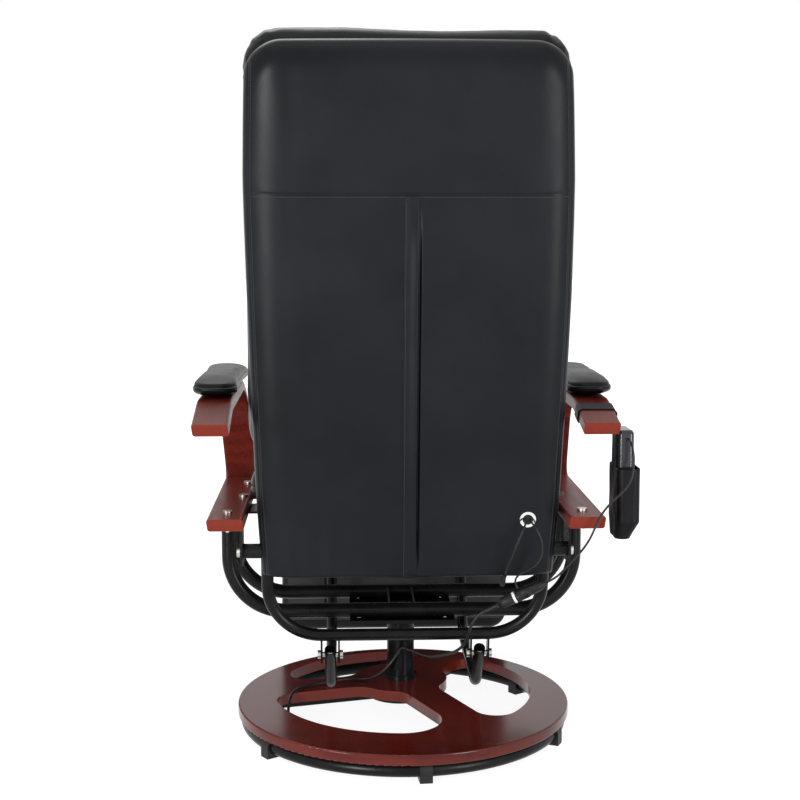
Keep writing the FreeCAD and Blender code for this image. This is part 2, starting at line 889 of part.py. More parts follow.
def back_shell():
    half = back_half_width
    body = cushion(-half, half, -back_top, -back_hem + cover_corner, 0, back_cover_rear - back_cover_front,
                   cover_corner, cover_edge, back_cover_crown, cover_tuck_shares)
    body = body.common(block(-half, half, -back_top, -back_hem, 0, back_cover_rear + half))
    body = turned(body, vec(0, 0, 0), vec(-1, 0, 0), right_angle)
    return moved(body, pivot + vec(0, back_cover_front, 0))


def back_cover():
    shell = back_shell()
    inner = back_half_width - cover_wall
    shell = shell.cut(block(-inner, inner, pivot_rear + back_cover_front - overrun,
                            pivot_rear + cover_cavity_rear,
                            pivot_height + back_hem - overrun, pivot_height + back_top - cover_wall))
    shell = shell.cut(rod(vec(-back_half_width - overrun, pivot_rear, pivot_height),
                          vec(back_half_width + overrun, pivot_rear, pivot_height), boss_radius + soft_gap))
    start = vec(grommet_side, pivot_rear, pivot_height + grommet_height)
    end = start + vec(0, back_half_width, 0)
    return shell.cut(rod(start, end, grommet_hole + hole_fit))


def cover_part(low, high):
    half = back_half_width + overrun
    window = block(-half, half, pivot_rear - half, pivot_rear + half, pivot_height + low,
                   pivot_height + high)
    return leaned(max(back_cover().common(window).Solids, key=lambda solid: solid.Volume))


def back_cover_lower():
    return cover_part(back_hem - overrun, seam_height - soft_gap)


def back_cover_upper():
    return cover_part(seam_height, back_top + overrun)


def back_flap():
    half = flap_width * half_share
    rear = pivot_rear + back_cover_rear + back_cover_crown + flap_thickness
    strip = block(flap_offset - half, flap_offset + half, pivot_rear + cover_cavity_rear + overrun, rear,
                  pivot_height + flap_foot, pivot_height + seam_height - soft_gap)
    strip = strip.cut(back_shell())
    return leaned(max(strip.Solids, key=lambda solid: solid.Volume))


def grommet_centre(across):
    return vec(grommet_side, pivot_rear + across, pivot_height + grommet_height)


def grommet_ring():
    face = back_cover_rear + back_cover_crown - grommet_lip
    barrel = rod(grommet_centre(face - grommet_depth), grommet_centre(face + grommet_lip), grommet_hole)
    lip = rod(grommet_centre(face), grommet_centre(face + grommet_lip), grommet_outer)
    bore = rod(grommet_centre(cover_cavity_rear - overrun), grommet_centre(face + grommet_outer),
               grommet_inner)
    return leaned(barrel.fuse(lip).cut(bore))


def grommet_plug():
    face = back_cover_rear + back_cover_crown - grommet_lip
    return leaned(rod(grommet_centre(face - grommet_depth), grommet_centre(face + grommet_lip + soft_gap),
                      grommet_inner - running_fit))


def push_clevises():
    ears = []
    top = pivot_height - back_tube_drop
    foot = pivot_height - clevis_drop - clevis_half_width
    tube = rod(vec(-push_half_span - back_tube_half_span, pivot_rear, top),
               vec(push_half_span + back_tube_half_span, pivot_rear, top), back_tube_radius + weld_gap)
    for side in sides:
        for end in sides:
            near = side * push_half_span + end * clevis_half_span
            far = near + end * clevis_thickness
            ear = block(min(near, far), max(near, far), pivot_rear - clevis_half_width,
                        pivot_rear + clevis_half_width, foot, top)
            ear = ear.cut(tube)
            hole = rod(vec(near - end * overrun, pivot_rear, pivot_height - clevis_drop),
                       vec(far + end * overrun, pivot_rear, pivot_height - clevis_drop),
                       clevis_bolt_radius + running_fit)
            ears.append(leaned(max(ear.cut(hole).Solids, key=lambda solid: solid.Volume)))
    return ears


def clevis_bolts():
    bolts = []
    height = pivot_height - clevis_drop
    reach = clevis_half_span + clevis_thickness
    for side in sides:
        centre = side * push_half_span
        head = vec(centre + side * (reach + clevis_bolt_head_height), pivot_rear, height)
        seat = vec(centre + side * reach, pivot_rear, height)
        tip = vec(centre - side * reach, pivot_rear, height)
        shank = bolt(head, seat, tip, clevis_bolt_radius, clevis_bolt_head)
        nut = rod(tip, tip - vec(side * clevis_bolt_head_height, 0, 0), clevis_bolt_head)
        bolts.append(leaned(shank.fuse(nut)))
    return bolts


def crank_point():
    angle = math.radians(footrest_crank_turn)
    return vec(0, footrest_pivot_front + footrest_crank * math.sin(angle),
               footrest_pivot_height - footrest_crank * math.cos(angle))


def push_tube(side):
    x = vec(side * push_half_span, 0, 0)
    bolt_point = lean_point(0, 0, -clevis_drop)
    low_rear = vec(0, push_low_rear, push_low_height)
    low_front = vec(0, push_low_front, push_low_front_height)
    crank = crank_point()
    start = bolt_point + (bolt_point - low_rear).normalize() * push_open_run
    eye = crank + vec(0, push_eye_rear, -push_eye_drop)
    points = [point + x for point in (start, low_rear, low_front, eye)]
    tube = hollow_tube(points, (push_rear_bend, push_front_bend), push_tube_radius, push_tube_wall)
    across = vec(push_tube_radius + overrun, 0, 0)
    tube = tube.cut(rod(bolt_point + x - across, bolt_point + x + across, clevis_bolt_radius + running_fit))
    half = vec(push_eye_width * half_share, 0, 0)
    tube = tube.fuse(rod(eye + x - half, eye + x + half, push_eye_radius)).removeSplitter()
    return tube.cut(rod(eye + x - across, eye + x + across, push_eye_hole))


def bar_inner():
    return push_half_span + push_tube_radius + clevis_gap


def footrest_bar(side):
    inner = bar_inner()
    outer = inner + footrest_bar_thickness
    crank = crank_point()
    half = footrest_bar_width * half_share
    pivot_y = footrest_pivot_front
    pivot_z = footrest_pivot_height
    low = footrest_bottom + footrest_bar_width + footrest_bar_width
    bar = block(inner, outer, footrest_board_rear, footrest_board_rear + footrest_bar_width, low, pivot_z)
    bar = bar.fuse(rod(vec(inner, pivot_y, pivot_z), vec(outer, pivot_y, pivot_z), half))
    bar = bar.fuse(block(inner, outer, footrest_board_rear, crank.y, crank.z - half, crank.z + half))
    bar = bar.fuse(rod(vec(inner, crank.y, crank.z), vec(outer, crank.y, crank.z), half))
    bar = bar.cut(rod(vec(inner - overrun, pivot_y, pivot_z), vec(outer + overrun, pivot_y, pivot_z),
                      footrest_pin_radius + running_fit))
    pin = rod(vec(outer, crank.y, crank.z), vec(push_half_span - push_tube_radius, crank.y, crank.z),
              crank_pin_radius)
    bar = bar.fuse(pin).removeSplitter()
    return bar if side > 0 else mirrored(bar)


def footrest_board():
    half = footrest_half_width - footrest_board_inset
    return block(-half, half, footrest_board_rear - footrest_board_thickness, footrest_board_rear,
                 footrest_bottom + footrest_board_inset, footrest_top - footrest_board_inset)


def footrest_pad():
    half = footrest_half_width
    pad = cushion(-half, half, footrest_bottom, footrest_top, 0, footrest_pad_depth,
                  footrest_pad_corner, footrest_pad_tuck, footrest_pad_crown)
    pad = turned(pad, vec(0, 0, 0), vec(1, 0, 0), right_angle)
    return moved(pad, vec(0, footrest_board_rear - footrest_board_thickness - soft_gap, 0))


def bracket_side():
    return bar_inner() + footrest_bar_thickness + clevis_gap


def footrest_bracket():
    inner = bracket_side()
    outer = inner + footrest_bracket_thickness
    half = footrest_bracket_width * half_share
    bracket = block(inner, outer, footrest_pivot_front, seat_frame_front,
                    seat_frame_top - seat_rail_square, footrest_pivot_height + half)
    bracket = bracket.fuse(rod(vec(inner, footrest_pivot_front, footrest_pivot_height),
                               vec(outer, footrest_pivot_front, footrest_pivot_height), half))
    bracket = bracket.common(block(inner, outer, footrest_pivot_front - half, seat_frame_front,
                                   0, seat_frame_top))
    return bracket.cut(rod(vec(inner - overrun, footrest_pivot_front, footrest_pivot_height),
                           vec(outer + overrun, footrest_pivot_front, footrest_pivot_height),
                           footrest_pin_radius + running_fit))


def footrest_pin():
    outer = bracket_side() + footrest_bracket_thickness
    y = footrest_pivot_front
    z = footrest_pivot_height
    return bolt(vec(outer + clevis_bolt_head_height, y, z), vec(outer, y, z),
                vec(bar_inner() - clevis_gap, y, z),
                footrest_pin_radius, clevis_bolt_head)


def recline_lever():
    near = lever_side - lever_thickness * half_share
    far = lever_side + lever_thickness * half_share
    half = lever_width * half_share
    y = lever_pivot_rear
    z = lever_pivot_height
    plate = block(near, far, y - half, y + half, z, lever_knee_height)
    plate = plate.fuse(rod(vec(near, y, z), vec(far, y, z), half))
    high = lever_knee_height + grip_length
    reach = near - lever_reach
    foot = block(reach - lever_thickness, far, y - half, y + half, lever_knee_height - lever_thickness,
                 lever_knee_height)
    stem = block(reach - lever_thickness, reach, y - half * half_share, y + half * half_share,
                 lever_knee_height - lever_thickness, high - grip_fillet)
    lever = plate.fuse([foot, stem]).removeSplitter()
    return lever.cut(rod(vec(near - overrun, y, z), vec(far + overrun, y, z),
                         lever_pin_radius + running_fit))


def lever_grip():
    centre = lever_side - lever_thickness * half_share - lever_reach - lever_thickness * half_share
    side = grip_thickness * half_share
    half = grip_width * half_share
    low = lever_knee_height + soft_gap
    y = lever_pivot_rear
    grip = block(centre - side, centre + side, y - half, y + half, low, low + grip_length)
    grip = grip.makeFillet(grip_fillet, grip.Edges)
    slot_side = lever_thickness * half_share + running_fit
    slot_half = lever_width * half_share * half_share + running_fit
    slot = block(centre - slot_side, centre + slot_side, y - slot_half, y + slot_half, low - overrun,
                 lever_knee_height + grip_length - grip_fillet + running_fit)
    return grip.cut(slot)


def strap_top():
    return arm_top_rear_height + arm_board_thickness * half_share


def strap_middle():
    # Height of the arm board's centre line where the strap goes round it.
    share = (arm_rear - strap_rear + strap_width * half_share) / (arm_rear - arm_knee)
    return arm_rear_height + (arm_top_rear_height - arm_rear_height) * share


def pouch_inner():
    height = strap_middle() + arm_edge_fillet - arm_middle
    return -(arm_half_span + arm_board_width * half_share + arm_lean_share * height + strap_thickness
             + soft_gap + soft_gap)


def pouch_strap():
    # A band round the arm board, cut from a slightly larger copy of the board's own sweep.
    band = arm_loop(strap_thickness + soft_gap).cut(arm_loop(soft_gap))
    reach = -pouch_outer_side()
    window = block(0, reach, strap_rear - strap_width, strap_rear, arm_middle + arm_board_width,
                   strap_top() + arm_board_width)
    return mirrored(max(band.common(window).Solids, key=lambda solid: solid.Volume))


def pouch_outer_side():
    return pouch_inner() - pouch_depth


def pouch_block(inset, low_extra):
    inner = pouch_inner() - inset
    outer = pouch_outer_side() + inset
    wires = []
    levels = ((pouch_bottom + low_extra, pouch_taper * half_share), (pouch_shoulder + low_extra, 0),
              (pouch_rim, 0))
    for height, taper in levels:
        wires.append(rounded_wire(outer + taper, inner, pouch_front + inset + taper,
                                  pouch_rear - inset - taper,
                                  height, pouch_corner - inset))
    return Part.makeLoft(wires, True, True)


def controller_pouch():
    inner = pouch_inner()
    body = pouch_block(0, 0)
    cavity = pouch_block(pouch_wall, pouch_wall)
    mouth = block(pouch_outer_side() + pouch_wall, inner - pouch_wall, pouch_front + pouch_corner,
                  pouch_rear - pouch_corner, pouch_rim - overrun, pouch_rim + overrun)
    tab = block(inner - pouch_wall, inner, strap_rear - strap_width, strap_rear, pouch_rim - pouch_corner,
                strap_middle() + arm_edge_fillet)
    return body.cut(cavity).cut(mouth).fuse(tab).removeSplitter()


def controller_near():
    return pouch_inner() - pouch_wall - controller_side_gap


def controller_centre():
    return (pouch_front + pouch_rear) * half_share


def controller_buttons():
    # Each button is a short plunger across the handset; the list holds radius and height.
    buttons = [(button_radius, controller_foot + share * controller_length) for share in button_rows_share]
    buttons.append((power_button_radius, controller_foot + power_button_row_share * controller_length))
    return buttons


def hand_controller():
    near = controller_near()
    far = near - controller_thickness
    centre = controller_centre()
    half = controller_width * half_share
    body = block(far, near, centre - half, centre + half, controller_foot,
                 controller_foot + controller_length)
    body = body.makeFillet(controller_fillet, body.Edges)
    for radius, height in controller_buttons():
        floor = far + button_depth + button_floor_gap
        body = body.cut(rod(vec(far - overrun, centre, height), vec(floor, centre, height),
                            radius + button_clearance))
    return body


def controller_button(radius, height):
    far = controller_near() - controller_thickness
    centre = controller_centre()
    button = rod(vec(far - button_rise, centre, height), vec(far + button_depth, centre, height), radius)
    return button


# Cord routes, chosen by hand
grommet_wire_route = (
    vec(-197, 246.9, 380), vec(-197, 257.0, 378), vec(-204, 267.0, 371), vec(-212, 272.0, 354),
    vec(-214, 269.0, 330), vec(-206, 260.0, 310), vec(-193, 250.0, 298), vec(-179, 242.0, 290),
    vec(-172.6, 238.1, 277.5), vec(-178.8, 238.1, 265.2))
short_wire_route = (
    vec(-189, 246.9, 380), vec(-189, 257.0, 378), vec(-183, 267.0, 368), vec(-174, 269.0, 348),
    vec(-166, 262.0, 324), vec(-160, 252.0, 305), vec(-157, 246.0, 290))
controller_lead_route = (
    vec(-359, 208.3, 503), vec(-359, 222.0, 503), vec(-361, 232.0, 496), vec(-363, 238.0, 478),
    vec(-362, 241.0, 457), vec(-356, 246.0, 438), vec(-342, 254.0, 424), vec(-325, 262.0, 412),
    vec(-309, 270.0, 397), vec(-298, 275.0, 378), vec(-289, 275.0, 356), vec(-277, 270.0, 335),
    vec(-262, 262.0, 316), vec(-250, 251.5, 298), vec(-237.9, 244.4, 283.7), vec(-224.9, 242.9, 277.1))
power_lead_seat_route = (
    vec(-148, 234.0, 238), vec(-134.8, 232.4, 231.1), vec(-119, 231.0, 224), vec(-107, 228.0, 208),
    vec(-101, 224.0, 188), vec(-96, 214.0, 168), vec(-84, 200.0, 152), vec(-68, 178.0, 140),
    vec(-52, 150.0, 128), vec(-40, 120.0, 119), vec(-28, 88.0, 115), vec(-14, 60.0, 113),
    vec(-2, 38.0, 111))
power_lead_base_route = (
    vec(2, 32.0, 104), vec(10, 36.0, 94), vec(22, 37.0, 78), vec(36, 33.0, 62), vec(54, 26.0, 51.5),
    vec(78, 18.0, 49.5), vec(104, 22.0, 49.5), vec(128, 34.0, 49.5), vec(153, 46.0, 49.5),
    vec(174, 62.0, 49.5), vec(187, 84.0, 49.5), vec(193, 106.0, 46.5), vec(195, 126.0, 36.5),
    vec(195, 143.0, 22), vec(195, 158.5, 9.5), vec(199.5, 172.3, 4.0), vec(211.2, 180.9, 2.6),
    vec(225.8, 180.9, 2.6), vec(237.5, 172.3, 2.6), vec(242, 158.5, 2.6), vec(242, 138.0, 2.6),
    vec(236, 100.0, 2.6), vec(222, 50.0, 2.6), vec(204, 4.0, 2.6), vec(184, -44.0, 2.6),
    vec(158, -90.0, 2.6), vec(128, -130.0, 2.6), vec(98, -164.0, 2.6), vec(74, -194.0, 2.6),
    vec(62, -218.0, 2.6), vec(60, -236.0, 2.6))


def connector_axis():
    # The lead starts a hair beyond the connector, which swings a little with the back.
    low = power_lead_seat_route[0]
    high = controller_lead_route[-1]
    return low + (high - low).normalize() * connector_lead_gap, high


def inline_connector():
    low, high = connector_axis()
    direction = (high - low).normalize()
    collar = lead_radius + lead_radius
    body = rod(low + direction * collar, high - direction * collar, connector_radius)
    rims = [edge for edge in body.Edges if edge.Curve.TypeId == "Part::GeomCircle"]
    body = body.makeFillet(lead_radius, rims)
    foot = Part.makeCone(connector_tip_radius, collar, collar + overrun, low, direction)
    head = rod(high - direction * (collar + overrun), high, collar)
    return body.fuse([foot, head]).removeSplitter()


def two_pin_connector():
    end = short_wire_route[-1]
    direction = (end - short_wire_route[-2]).normalize()
    middle = end + direction * connector_radius
    half = wire_radius + wire_radius
    first = rod(end, middle, half)
    second = rod(middle, middle + direction * connector_radius, half + wire_radius * half_share)
    return first.fuse(second).removeSplitter()


def coil_centre():
    end = power_lead_base_route[-1]
    return vec(end.x - coil_radius, coil_front, end.z)


def coil_place(angle):
    # Loops spiral in, climb a layer in half a turn and spiral out again.
    layer = coil_layer_turns * 2.0 * math.pi
    climb = min(max((angle - layer) / math.pi, 0.0), 1.0)
    inward = min(angle, layer)
    outward = max(angle - layer - math.pi, 0.0)
    radius = coil_radius - coil_pitch * (inward - outward) / (2.0 * math.pi)
    rise = coil_layer_rise * climb * climb * (3.0 - climb - climb)
    return coil_centre() + vec(radius * math.cos(angle), -radius * math.sin(angle), rise)



def coil_heading(angle):
    before = coil_place(angle - coil_slope_share)
    after = coil_place(angle + coil_slope_share)
    return (after - before).normalize()


def corner_arc(first, corner, last):
    before = (first - corner).normalize()
    after = (last - corner).normalize()
    half_turn = (math.pi - before.getAngle(after)) * half_share
    reach = first.distanceToPoint(corner)
    radius = reach / math.tan(half_turn)
    depth = radius / math.cos(half_turn) - radius
    return Part.Arc(first, corner + (before + after).normalize() * depth, last).toShape()


def biarc(start, start_heading, end, end_heading):
    # Two arcs that touch each other and follow the given headings at both ends.
    across = end - start
    both = start_heading + end_heading
    square = 2.0 * (1.0 - start_heading.dot(end_heading))
    along = across.dot(both)
    reach = (math.sqrt(along * along + square * across.dot(across)) - along) / square
    first = start + start_heading * reach
    second = end - end_heading * reach
    joint = (first + second) * half_share
    return [corner_arc(start, first, joint), corner_arc(joint, second, end)]


def coil_angles():
    turns = coil_layer_turns + coil_layer_turns + half_share
    steps = round(turns * quarters_per_turn)
    return [index * math.pi * half_share for index in range(steps + 1)]


def coil_wire():
    places = [coil_place(angle) for angle in coil_angles()]
    headings = [coil_heading(angle) for angle in coil_angles()]
    headings[0] = vec(0, -1, 0)
    headings[-1] = vec(0, 1, 0)
    straight = vec(0, lead_radius + lead_radius, 0)
    edges = [Part.LineSegment(places[0] + straight, places[0]).toShape()]
    for index in range(len(places) - 1):
        edges.extend(biarc(places[index], headings[index], places[index + 1], headings[index + 1]))
    edges.append(Part.LineSegment(places[-1], places[-1] + vec(0, coil_tail, 0)).toShape())
    return Part.Wire(edges)


def power_lead_coil():
    wire = coil_wire()
    circle = Part.Wire(Part.makeCircle(lead_radius, wire.Vertexes[0].Point, vec(0, -1, 0)))
    points = wire.discretize(Distance=lead_radius)
    shape = wire.makePipeShell([circle], True, False)
    section = math.pi * lead_radius * lead_radius
    print("coil length", round(wire.Length), "least gap", round(least_gap(points), 2),
          "volume share", round(shape.Volume / (section * wire.Length), 4))
    return shape


def least_gap(points):
    reach = int(math.pi * lead_radius)
    least = coil_radius
    for index, point in enumerate(points):
        for other in points[index + reach:]:
            apart = point.distanceToPoint(other) - lead_radius - lead_radius
            least = min(least, apart)
    return least


def power_plug():
    start = coil_wire().Vertexes[-1].Point
    half = plug_width * half_share
    high = start.z + start.z
    body = block(start.x - half, start.x + half, start.y, start.y + plug_length, 0, high)
    body = body.makeFillet(lead_radius,
                           [edge for edge in body.Edges if abs(edge.tangentAt(0).y) > half_share])
    spread = blade_spacing * half_share
    side = blade_thickness * half_share
    tip = start.y + plug_length
    for end in sides:
        blade = block(start.x + end * spread - side, start.x + end * spread + side, tip - overrun,
                      tip + blade_length, start.z - blade_width * half_share,
                      start.z + blade_width * half_share)
        body = body.fuse(blade)
    return body.removeSplitter()


def base_parts():
    save("base_disc", [base_disc()])
    save("base_ring", [base_ring()])
    save("base_cross", [base_cross()])
    save("base_screws", base_screws())
    save("base_glides", base_glides())
    save("column", [column()])
    save("swivel_bushes", swivel_bushes())


def under_seat_parts():
    save("swivel_spindle", [swivel_spindle()])
    save("swivel_plate", [swivel_plate()])
    save("swivel_channel", [swivel_channel()])
    save("cross_tube_rear", [cross_tube(cross_tube_offset)])
    save("cross_tube_front", [cross_tube(-cross_tube_offset)])
    save("seat_bolts", seat_bolts())
    save("seat_frame", [seat_frame()])
    save("rail_plates", rail_plates())
    save("seat_board", [seat_board()])
    save("recline_brackets", [recline_bracket(), mirrored(recline_bracket())])
    save("pivot_bolts", [pivot_bolt(), mirrored(pivot_bolt())])
    save("footrest_brackets", [footrest_bracket(), mirrored(footrest_bracket())])
    save("footrest_pins", [footrest_pin(), mirrored(footrest_pin())])


def seat_parts():
    save("seat_cushion", [seat_cushion()])
    save("arm_left", [arm()])
    save("arm_right", [mirrored(arm())])
    save("arm_pad_left", [arm_pad()])
    save("arm_pad_right", [mirrored(arm_pad())])
    save("pouch_strap", [pouch_strap()])
    save("controller_pouch", [controller_pouch()])


def lever_parts():
    save("recline_lever", [recline_lever()])
    save("lever_grip", [lever_grip()])


def controller_parts():
    save("hand_controller", [hand_controller()])
    names = ("button_massage", "button_heat", "button_level", "button_power")
    for name, (radius, height) in zip(names, controller_buttons()):
        save(name, [controller_button(radius, height)])


def back_parts():
    save("back_frame", [back_frame()])
    save("back_crossbars", back_crossbars())
    save("back_pivots", [back_pivot(side) for side in sides])
    save("back_lining", [back_lining()])
    save("back_cushion", [back_cushion()])
    save("back_cover_lower", [back_cover_lower()])
    save("back_cover_upper", [back_cover_upper()])
    save("back_flap", [back_flap()])
    save("grommet_ring", [grommet_ring()])
    save("grommet_plug", [grommet_plug()])
    save("push_clevises", push_clevises())
    save("clevis_bolts", clevis_bolts())


def footrest_parts():
    save("push_tubes", [push_tube(side) for side in sides])
    save("footrest_bars", [footrest_bar(side) for side in sides])
    save("footrest_board", [footrest_board()])
    save("footrest_pad", [footrest_pad()])


def cord_parts():
    save("grommet_wires", [cord("long wire", grommet_wire_route, wire_radius),
                           cord("short wire", short_wire_route, wire_radius)])
    save("two_pin_connector", [two_pin_connector()])
    save("inline_connector", [inline_connector()])
    save("controller_lead", [cord("controller lead", controller_lead_route, thin_lead_radius)])
    save("power_lead_seat", [cord("power lead, seat", power_lead_seat_route, lead_radius)])
    joined = power_lead_base_route + (coil_wire().Vertexes[0].Point,)
    save("power_lead_base", [cord("power lead, base", joined, lead_radius)])
    save("power_lead_coil", [power_lead_coil()])
    save("power_plug", [power_plug()])


base_parts()
under_seat_parts()
seat_parts()
lever_parts()
controller_parts()
back_parts()
footrest_parts()
cord_parts()
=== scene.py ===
import json
import math

import bpy
import bmesh
import numpy as np
from mathutils import Vector, noise
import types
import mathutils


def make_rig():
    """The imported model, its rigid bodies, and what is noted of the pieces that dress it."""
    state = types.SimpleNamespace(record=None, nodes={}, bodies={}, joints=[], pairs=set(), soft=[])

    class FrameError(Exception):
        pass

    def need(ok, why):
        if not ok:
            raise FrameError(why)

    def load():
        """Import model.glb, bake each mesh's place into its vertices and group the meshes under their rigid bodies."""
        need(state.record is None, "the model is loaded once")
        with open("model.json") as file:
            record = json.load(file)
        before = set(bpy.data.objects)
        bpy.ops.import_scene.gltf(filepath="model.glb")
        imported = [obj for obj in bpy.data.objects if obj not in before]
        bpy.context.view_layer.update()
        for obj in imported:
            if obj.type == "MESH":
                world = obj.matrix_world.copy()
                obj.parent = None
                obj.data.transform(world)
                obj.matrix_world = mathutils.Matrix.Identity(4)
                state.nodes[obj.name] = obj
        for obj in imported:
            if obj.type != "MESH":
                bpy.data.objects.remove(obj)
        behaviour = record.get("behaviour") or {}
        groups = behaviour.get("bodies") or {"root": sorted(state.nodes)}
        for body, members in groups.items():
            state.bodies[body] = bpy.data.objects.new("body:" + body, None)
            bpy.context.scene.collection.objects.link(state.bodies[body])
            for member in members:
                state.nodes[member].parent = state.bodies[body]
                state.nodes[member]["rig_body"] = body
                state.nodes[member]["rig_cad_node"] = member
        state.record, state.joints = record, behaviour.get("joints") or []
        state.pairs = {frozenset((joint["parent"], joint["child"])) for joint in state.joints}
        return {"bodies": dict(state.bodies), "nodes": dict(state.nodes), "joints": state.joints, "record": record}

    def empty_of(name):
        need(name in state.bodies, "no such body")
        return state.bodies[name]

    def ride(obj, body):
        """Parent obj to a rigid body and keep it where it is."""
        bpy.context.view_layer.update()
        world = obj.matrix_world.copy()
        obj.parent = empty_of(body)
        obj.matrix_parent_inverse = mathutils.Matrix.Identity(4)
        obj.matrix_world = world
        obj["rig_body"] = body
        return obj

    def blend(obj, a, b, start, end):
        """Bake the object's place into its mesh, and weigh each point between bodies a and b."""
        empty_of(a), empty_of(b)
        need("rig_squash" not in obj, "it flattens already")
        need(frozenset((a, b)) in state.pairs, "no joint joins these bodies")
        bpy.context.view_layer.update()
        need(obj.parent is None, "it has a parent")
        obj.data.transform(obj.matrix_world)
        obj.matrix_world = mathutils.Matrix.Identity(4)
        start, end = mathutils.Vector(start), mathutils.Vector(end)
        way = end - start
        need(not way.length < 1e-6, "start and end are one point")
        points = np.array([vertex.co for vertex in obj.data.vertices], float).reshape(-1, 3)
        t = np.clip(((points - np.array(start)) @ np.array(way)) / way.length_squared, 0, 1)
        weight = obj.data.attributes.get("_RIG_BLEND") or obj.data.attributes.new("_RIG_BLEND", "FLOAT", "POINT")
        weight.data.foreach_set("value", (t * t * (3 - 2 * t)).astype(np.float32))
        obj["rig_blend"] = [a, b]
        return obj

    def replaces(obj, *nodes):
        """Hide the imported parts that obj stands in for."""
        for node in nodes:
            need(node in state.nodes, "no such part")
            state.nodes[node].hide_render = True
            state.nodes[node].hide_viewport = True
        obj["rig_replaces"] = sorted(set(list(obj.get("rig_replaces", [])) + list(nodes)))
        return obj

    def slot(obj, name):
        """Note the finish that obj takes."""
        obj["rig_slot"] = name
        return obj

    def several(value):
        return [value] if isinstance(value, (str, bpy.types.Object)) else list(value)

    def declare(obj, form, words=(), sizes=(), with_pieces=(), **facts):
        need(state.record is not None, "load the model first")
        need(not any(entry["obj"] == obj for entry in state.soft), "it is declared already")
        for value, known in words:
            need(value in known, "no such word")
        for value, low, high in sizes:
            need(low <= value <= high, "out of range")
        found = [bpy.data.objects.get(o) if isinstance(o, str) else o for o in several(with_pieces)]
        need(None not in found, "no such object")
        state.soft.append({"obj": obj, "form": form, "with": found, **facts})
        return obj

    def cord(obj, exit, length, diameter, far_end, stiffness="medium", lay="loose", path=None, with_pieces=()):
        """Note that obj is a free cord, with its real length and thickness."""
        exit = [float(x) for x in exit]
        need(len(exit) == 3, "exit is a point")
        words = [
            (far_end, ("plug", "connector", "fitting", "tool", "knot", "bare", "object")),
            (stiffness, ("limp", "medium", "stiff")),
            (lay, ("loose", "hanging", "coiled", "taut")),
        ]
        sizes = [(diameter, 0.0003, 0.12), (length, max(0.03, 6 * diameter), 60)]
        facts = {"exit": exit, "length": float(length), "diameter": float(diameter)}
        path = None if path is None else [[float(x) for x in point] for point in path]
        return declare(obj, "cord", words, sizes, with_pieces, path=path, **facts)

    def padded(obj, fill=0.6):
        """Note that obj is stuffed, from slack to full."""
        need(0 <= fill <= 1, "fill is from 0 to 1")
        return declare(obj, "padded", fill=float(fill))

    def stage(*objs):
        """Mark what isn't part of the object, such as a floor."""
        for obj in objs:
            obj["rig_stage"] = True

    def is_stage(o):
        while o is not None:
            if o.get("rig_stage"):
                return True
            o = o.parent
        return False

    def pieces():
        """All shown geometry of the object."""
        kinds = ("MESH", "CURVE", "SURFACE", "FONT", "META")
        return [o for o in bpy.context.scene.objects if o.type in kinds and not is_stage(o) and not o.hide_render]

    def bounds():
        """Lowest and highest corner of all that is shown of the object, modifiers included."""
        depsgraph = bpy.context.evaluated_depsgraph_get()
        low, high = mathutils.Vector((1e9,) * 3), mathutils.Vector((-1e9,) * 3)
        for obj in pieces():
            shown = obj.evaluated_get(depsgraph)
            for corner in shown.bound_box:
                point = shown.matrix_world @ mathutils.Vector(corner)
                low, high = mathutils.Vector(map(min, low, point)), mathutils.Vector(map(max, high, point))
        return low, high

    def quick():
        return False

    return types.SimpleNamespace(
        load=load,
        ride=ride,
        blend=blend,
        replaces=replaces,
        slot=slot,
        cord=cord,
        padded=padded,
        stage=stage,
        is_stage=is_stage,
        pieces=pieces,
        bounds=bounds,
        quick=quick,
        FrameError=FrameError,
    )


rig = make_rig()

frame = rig.load()
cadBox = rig.bounds()
print("frame loaded")

nodes = frame["nodes"]


# camera, light and floor

studio = {
    "distance": 2.5, "height": 0.847, "azimuth": 2.3, "tilt": 6.93, "clipEnd": 100.0,
    "focalPixels": 1446.0, "imagePixels": 800.0, "sensor": 36.0, "sideShift": -0.0007,
    "floorSize": 40.0, "floorHeight": -0.0004, "floorTone": (0.86, 0.86, 0.86, 1.0), "whiteShare": 0.70,
    "floorGlow": 1.3, "fadeStart": 0.5, "fadeEnd": 1.6, "white": (1.0, 1.0, 1.0, 1.0),
    "worldTone": (0.93, 0.96, 1.0, 1.0), "worldStrength": 0.42,
}

# name, place, target, size and watts
lamps = (
    ("leftStrip", (1.52, 2.56, 0.60), (0.20, 0.30, 0.90), (0.62, 1.10), 56.0),
    ("rightStrip", (-1.78, 2.36, 0.60), (-0.20, 0.30, 0.90), (0.70, 1.10), 34.0),
    ("topLamp", (0.2, 0.9, 3.0), (0.0, 0.2, 0.7), (2.0, 1.2), 7.0),
    ("frontLamp", (0.7, -1.8, 3.0), (0.0, 0.0, 0.6), (1.8, 1.2), 20.0),
)


def placeCamera():
    eye = bpy.data.cameras.new("camera")
    eye.sensor_width = studio["sensor"]
    eye.lens = studio["focalPixels"] / studio["imagePixels"] * studio["sensor"]
    eye.shift_x = studio["sideShift"]
    eye.clip_end = studio["clipEnd"]
    cam = bpy.data.objects.new("camera", eye)
    turn = math.radians(studio["azimuth"])
    away = studio["distance"]
    cam.location = (away * math.sin(turn), away * math.cos(turn), studio["height"])
    cam.rotation_euler = (math.radians(90.0 - studio["tilt"]), 0.0, math.pi - turn)
    bpy.context.scene.collection.objects.link(cam)
    bpy.context.scene.camera = cam


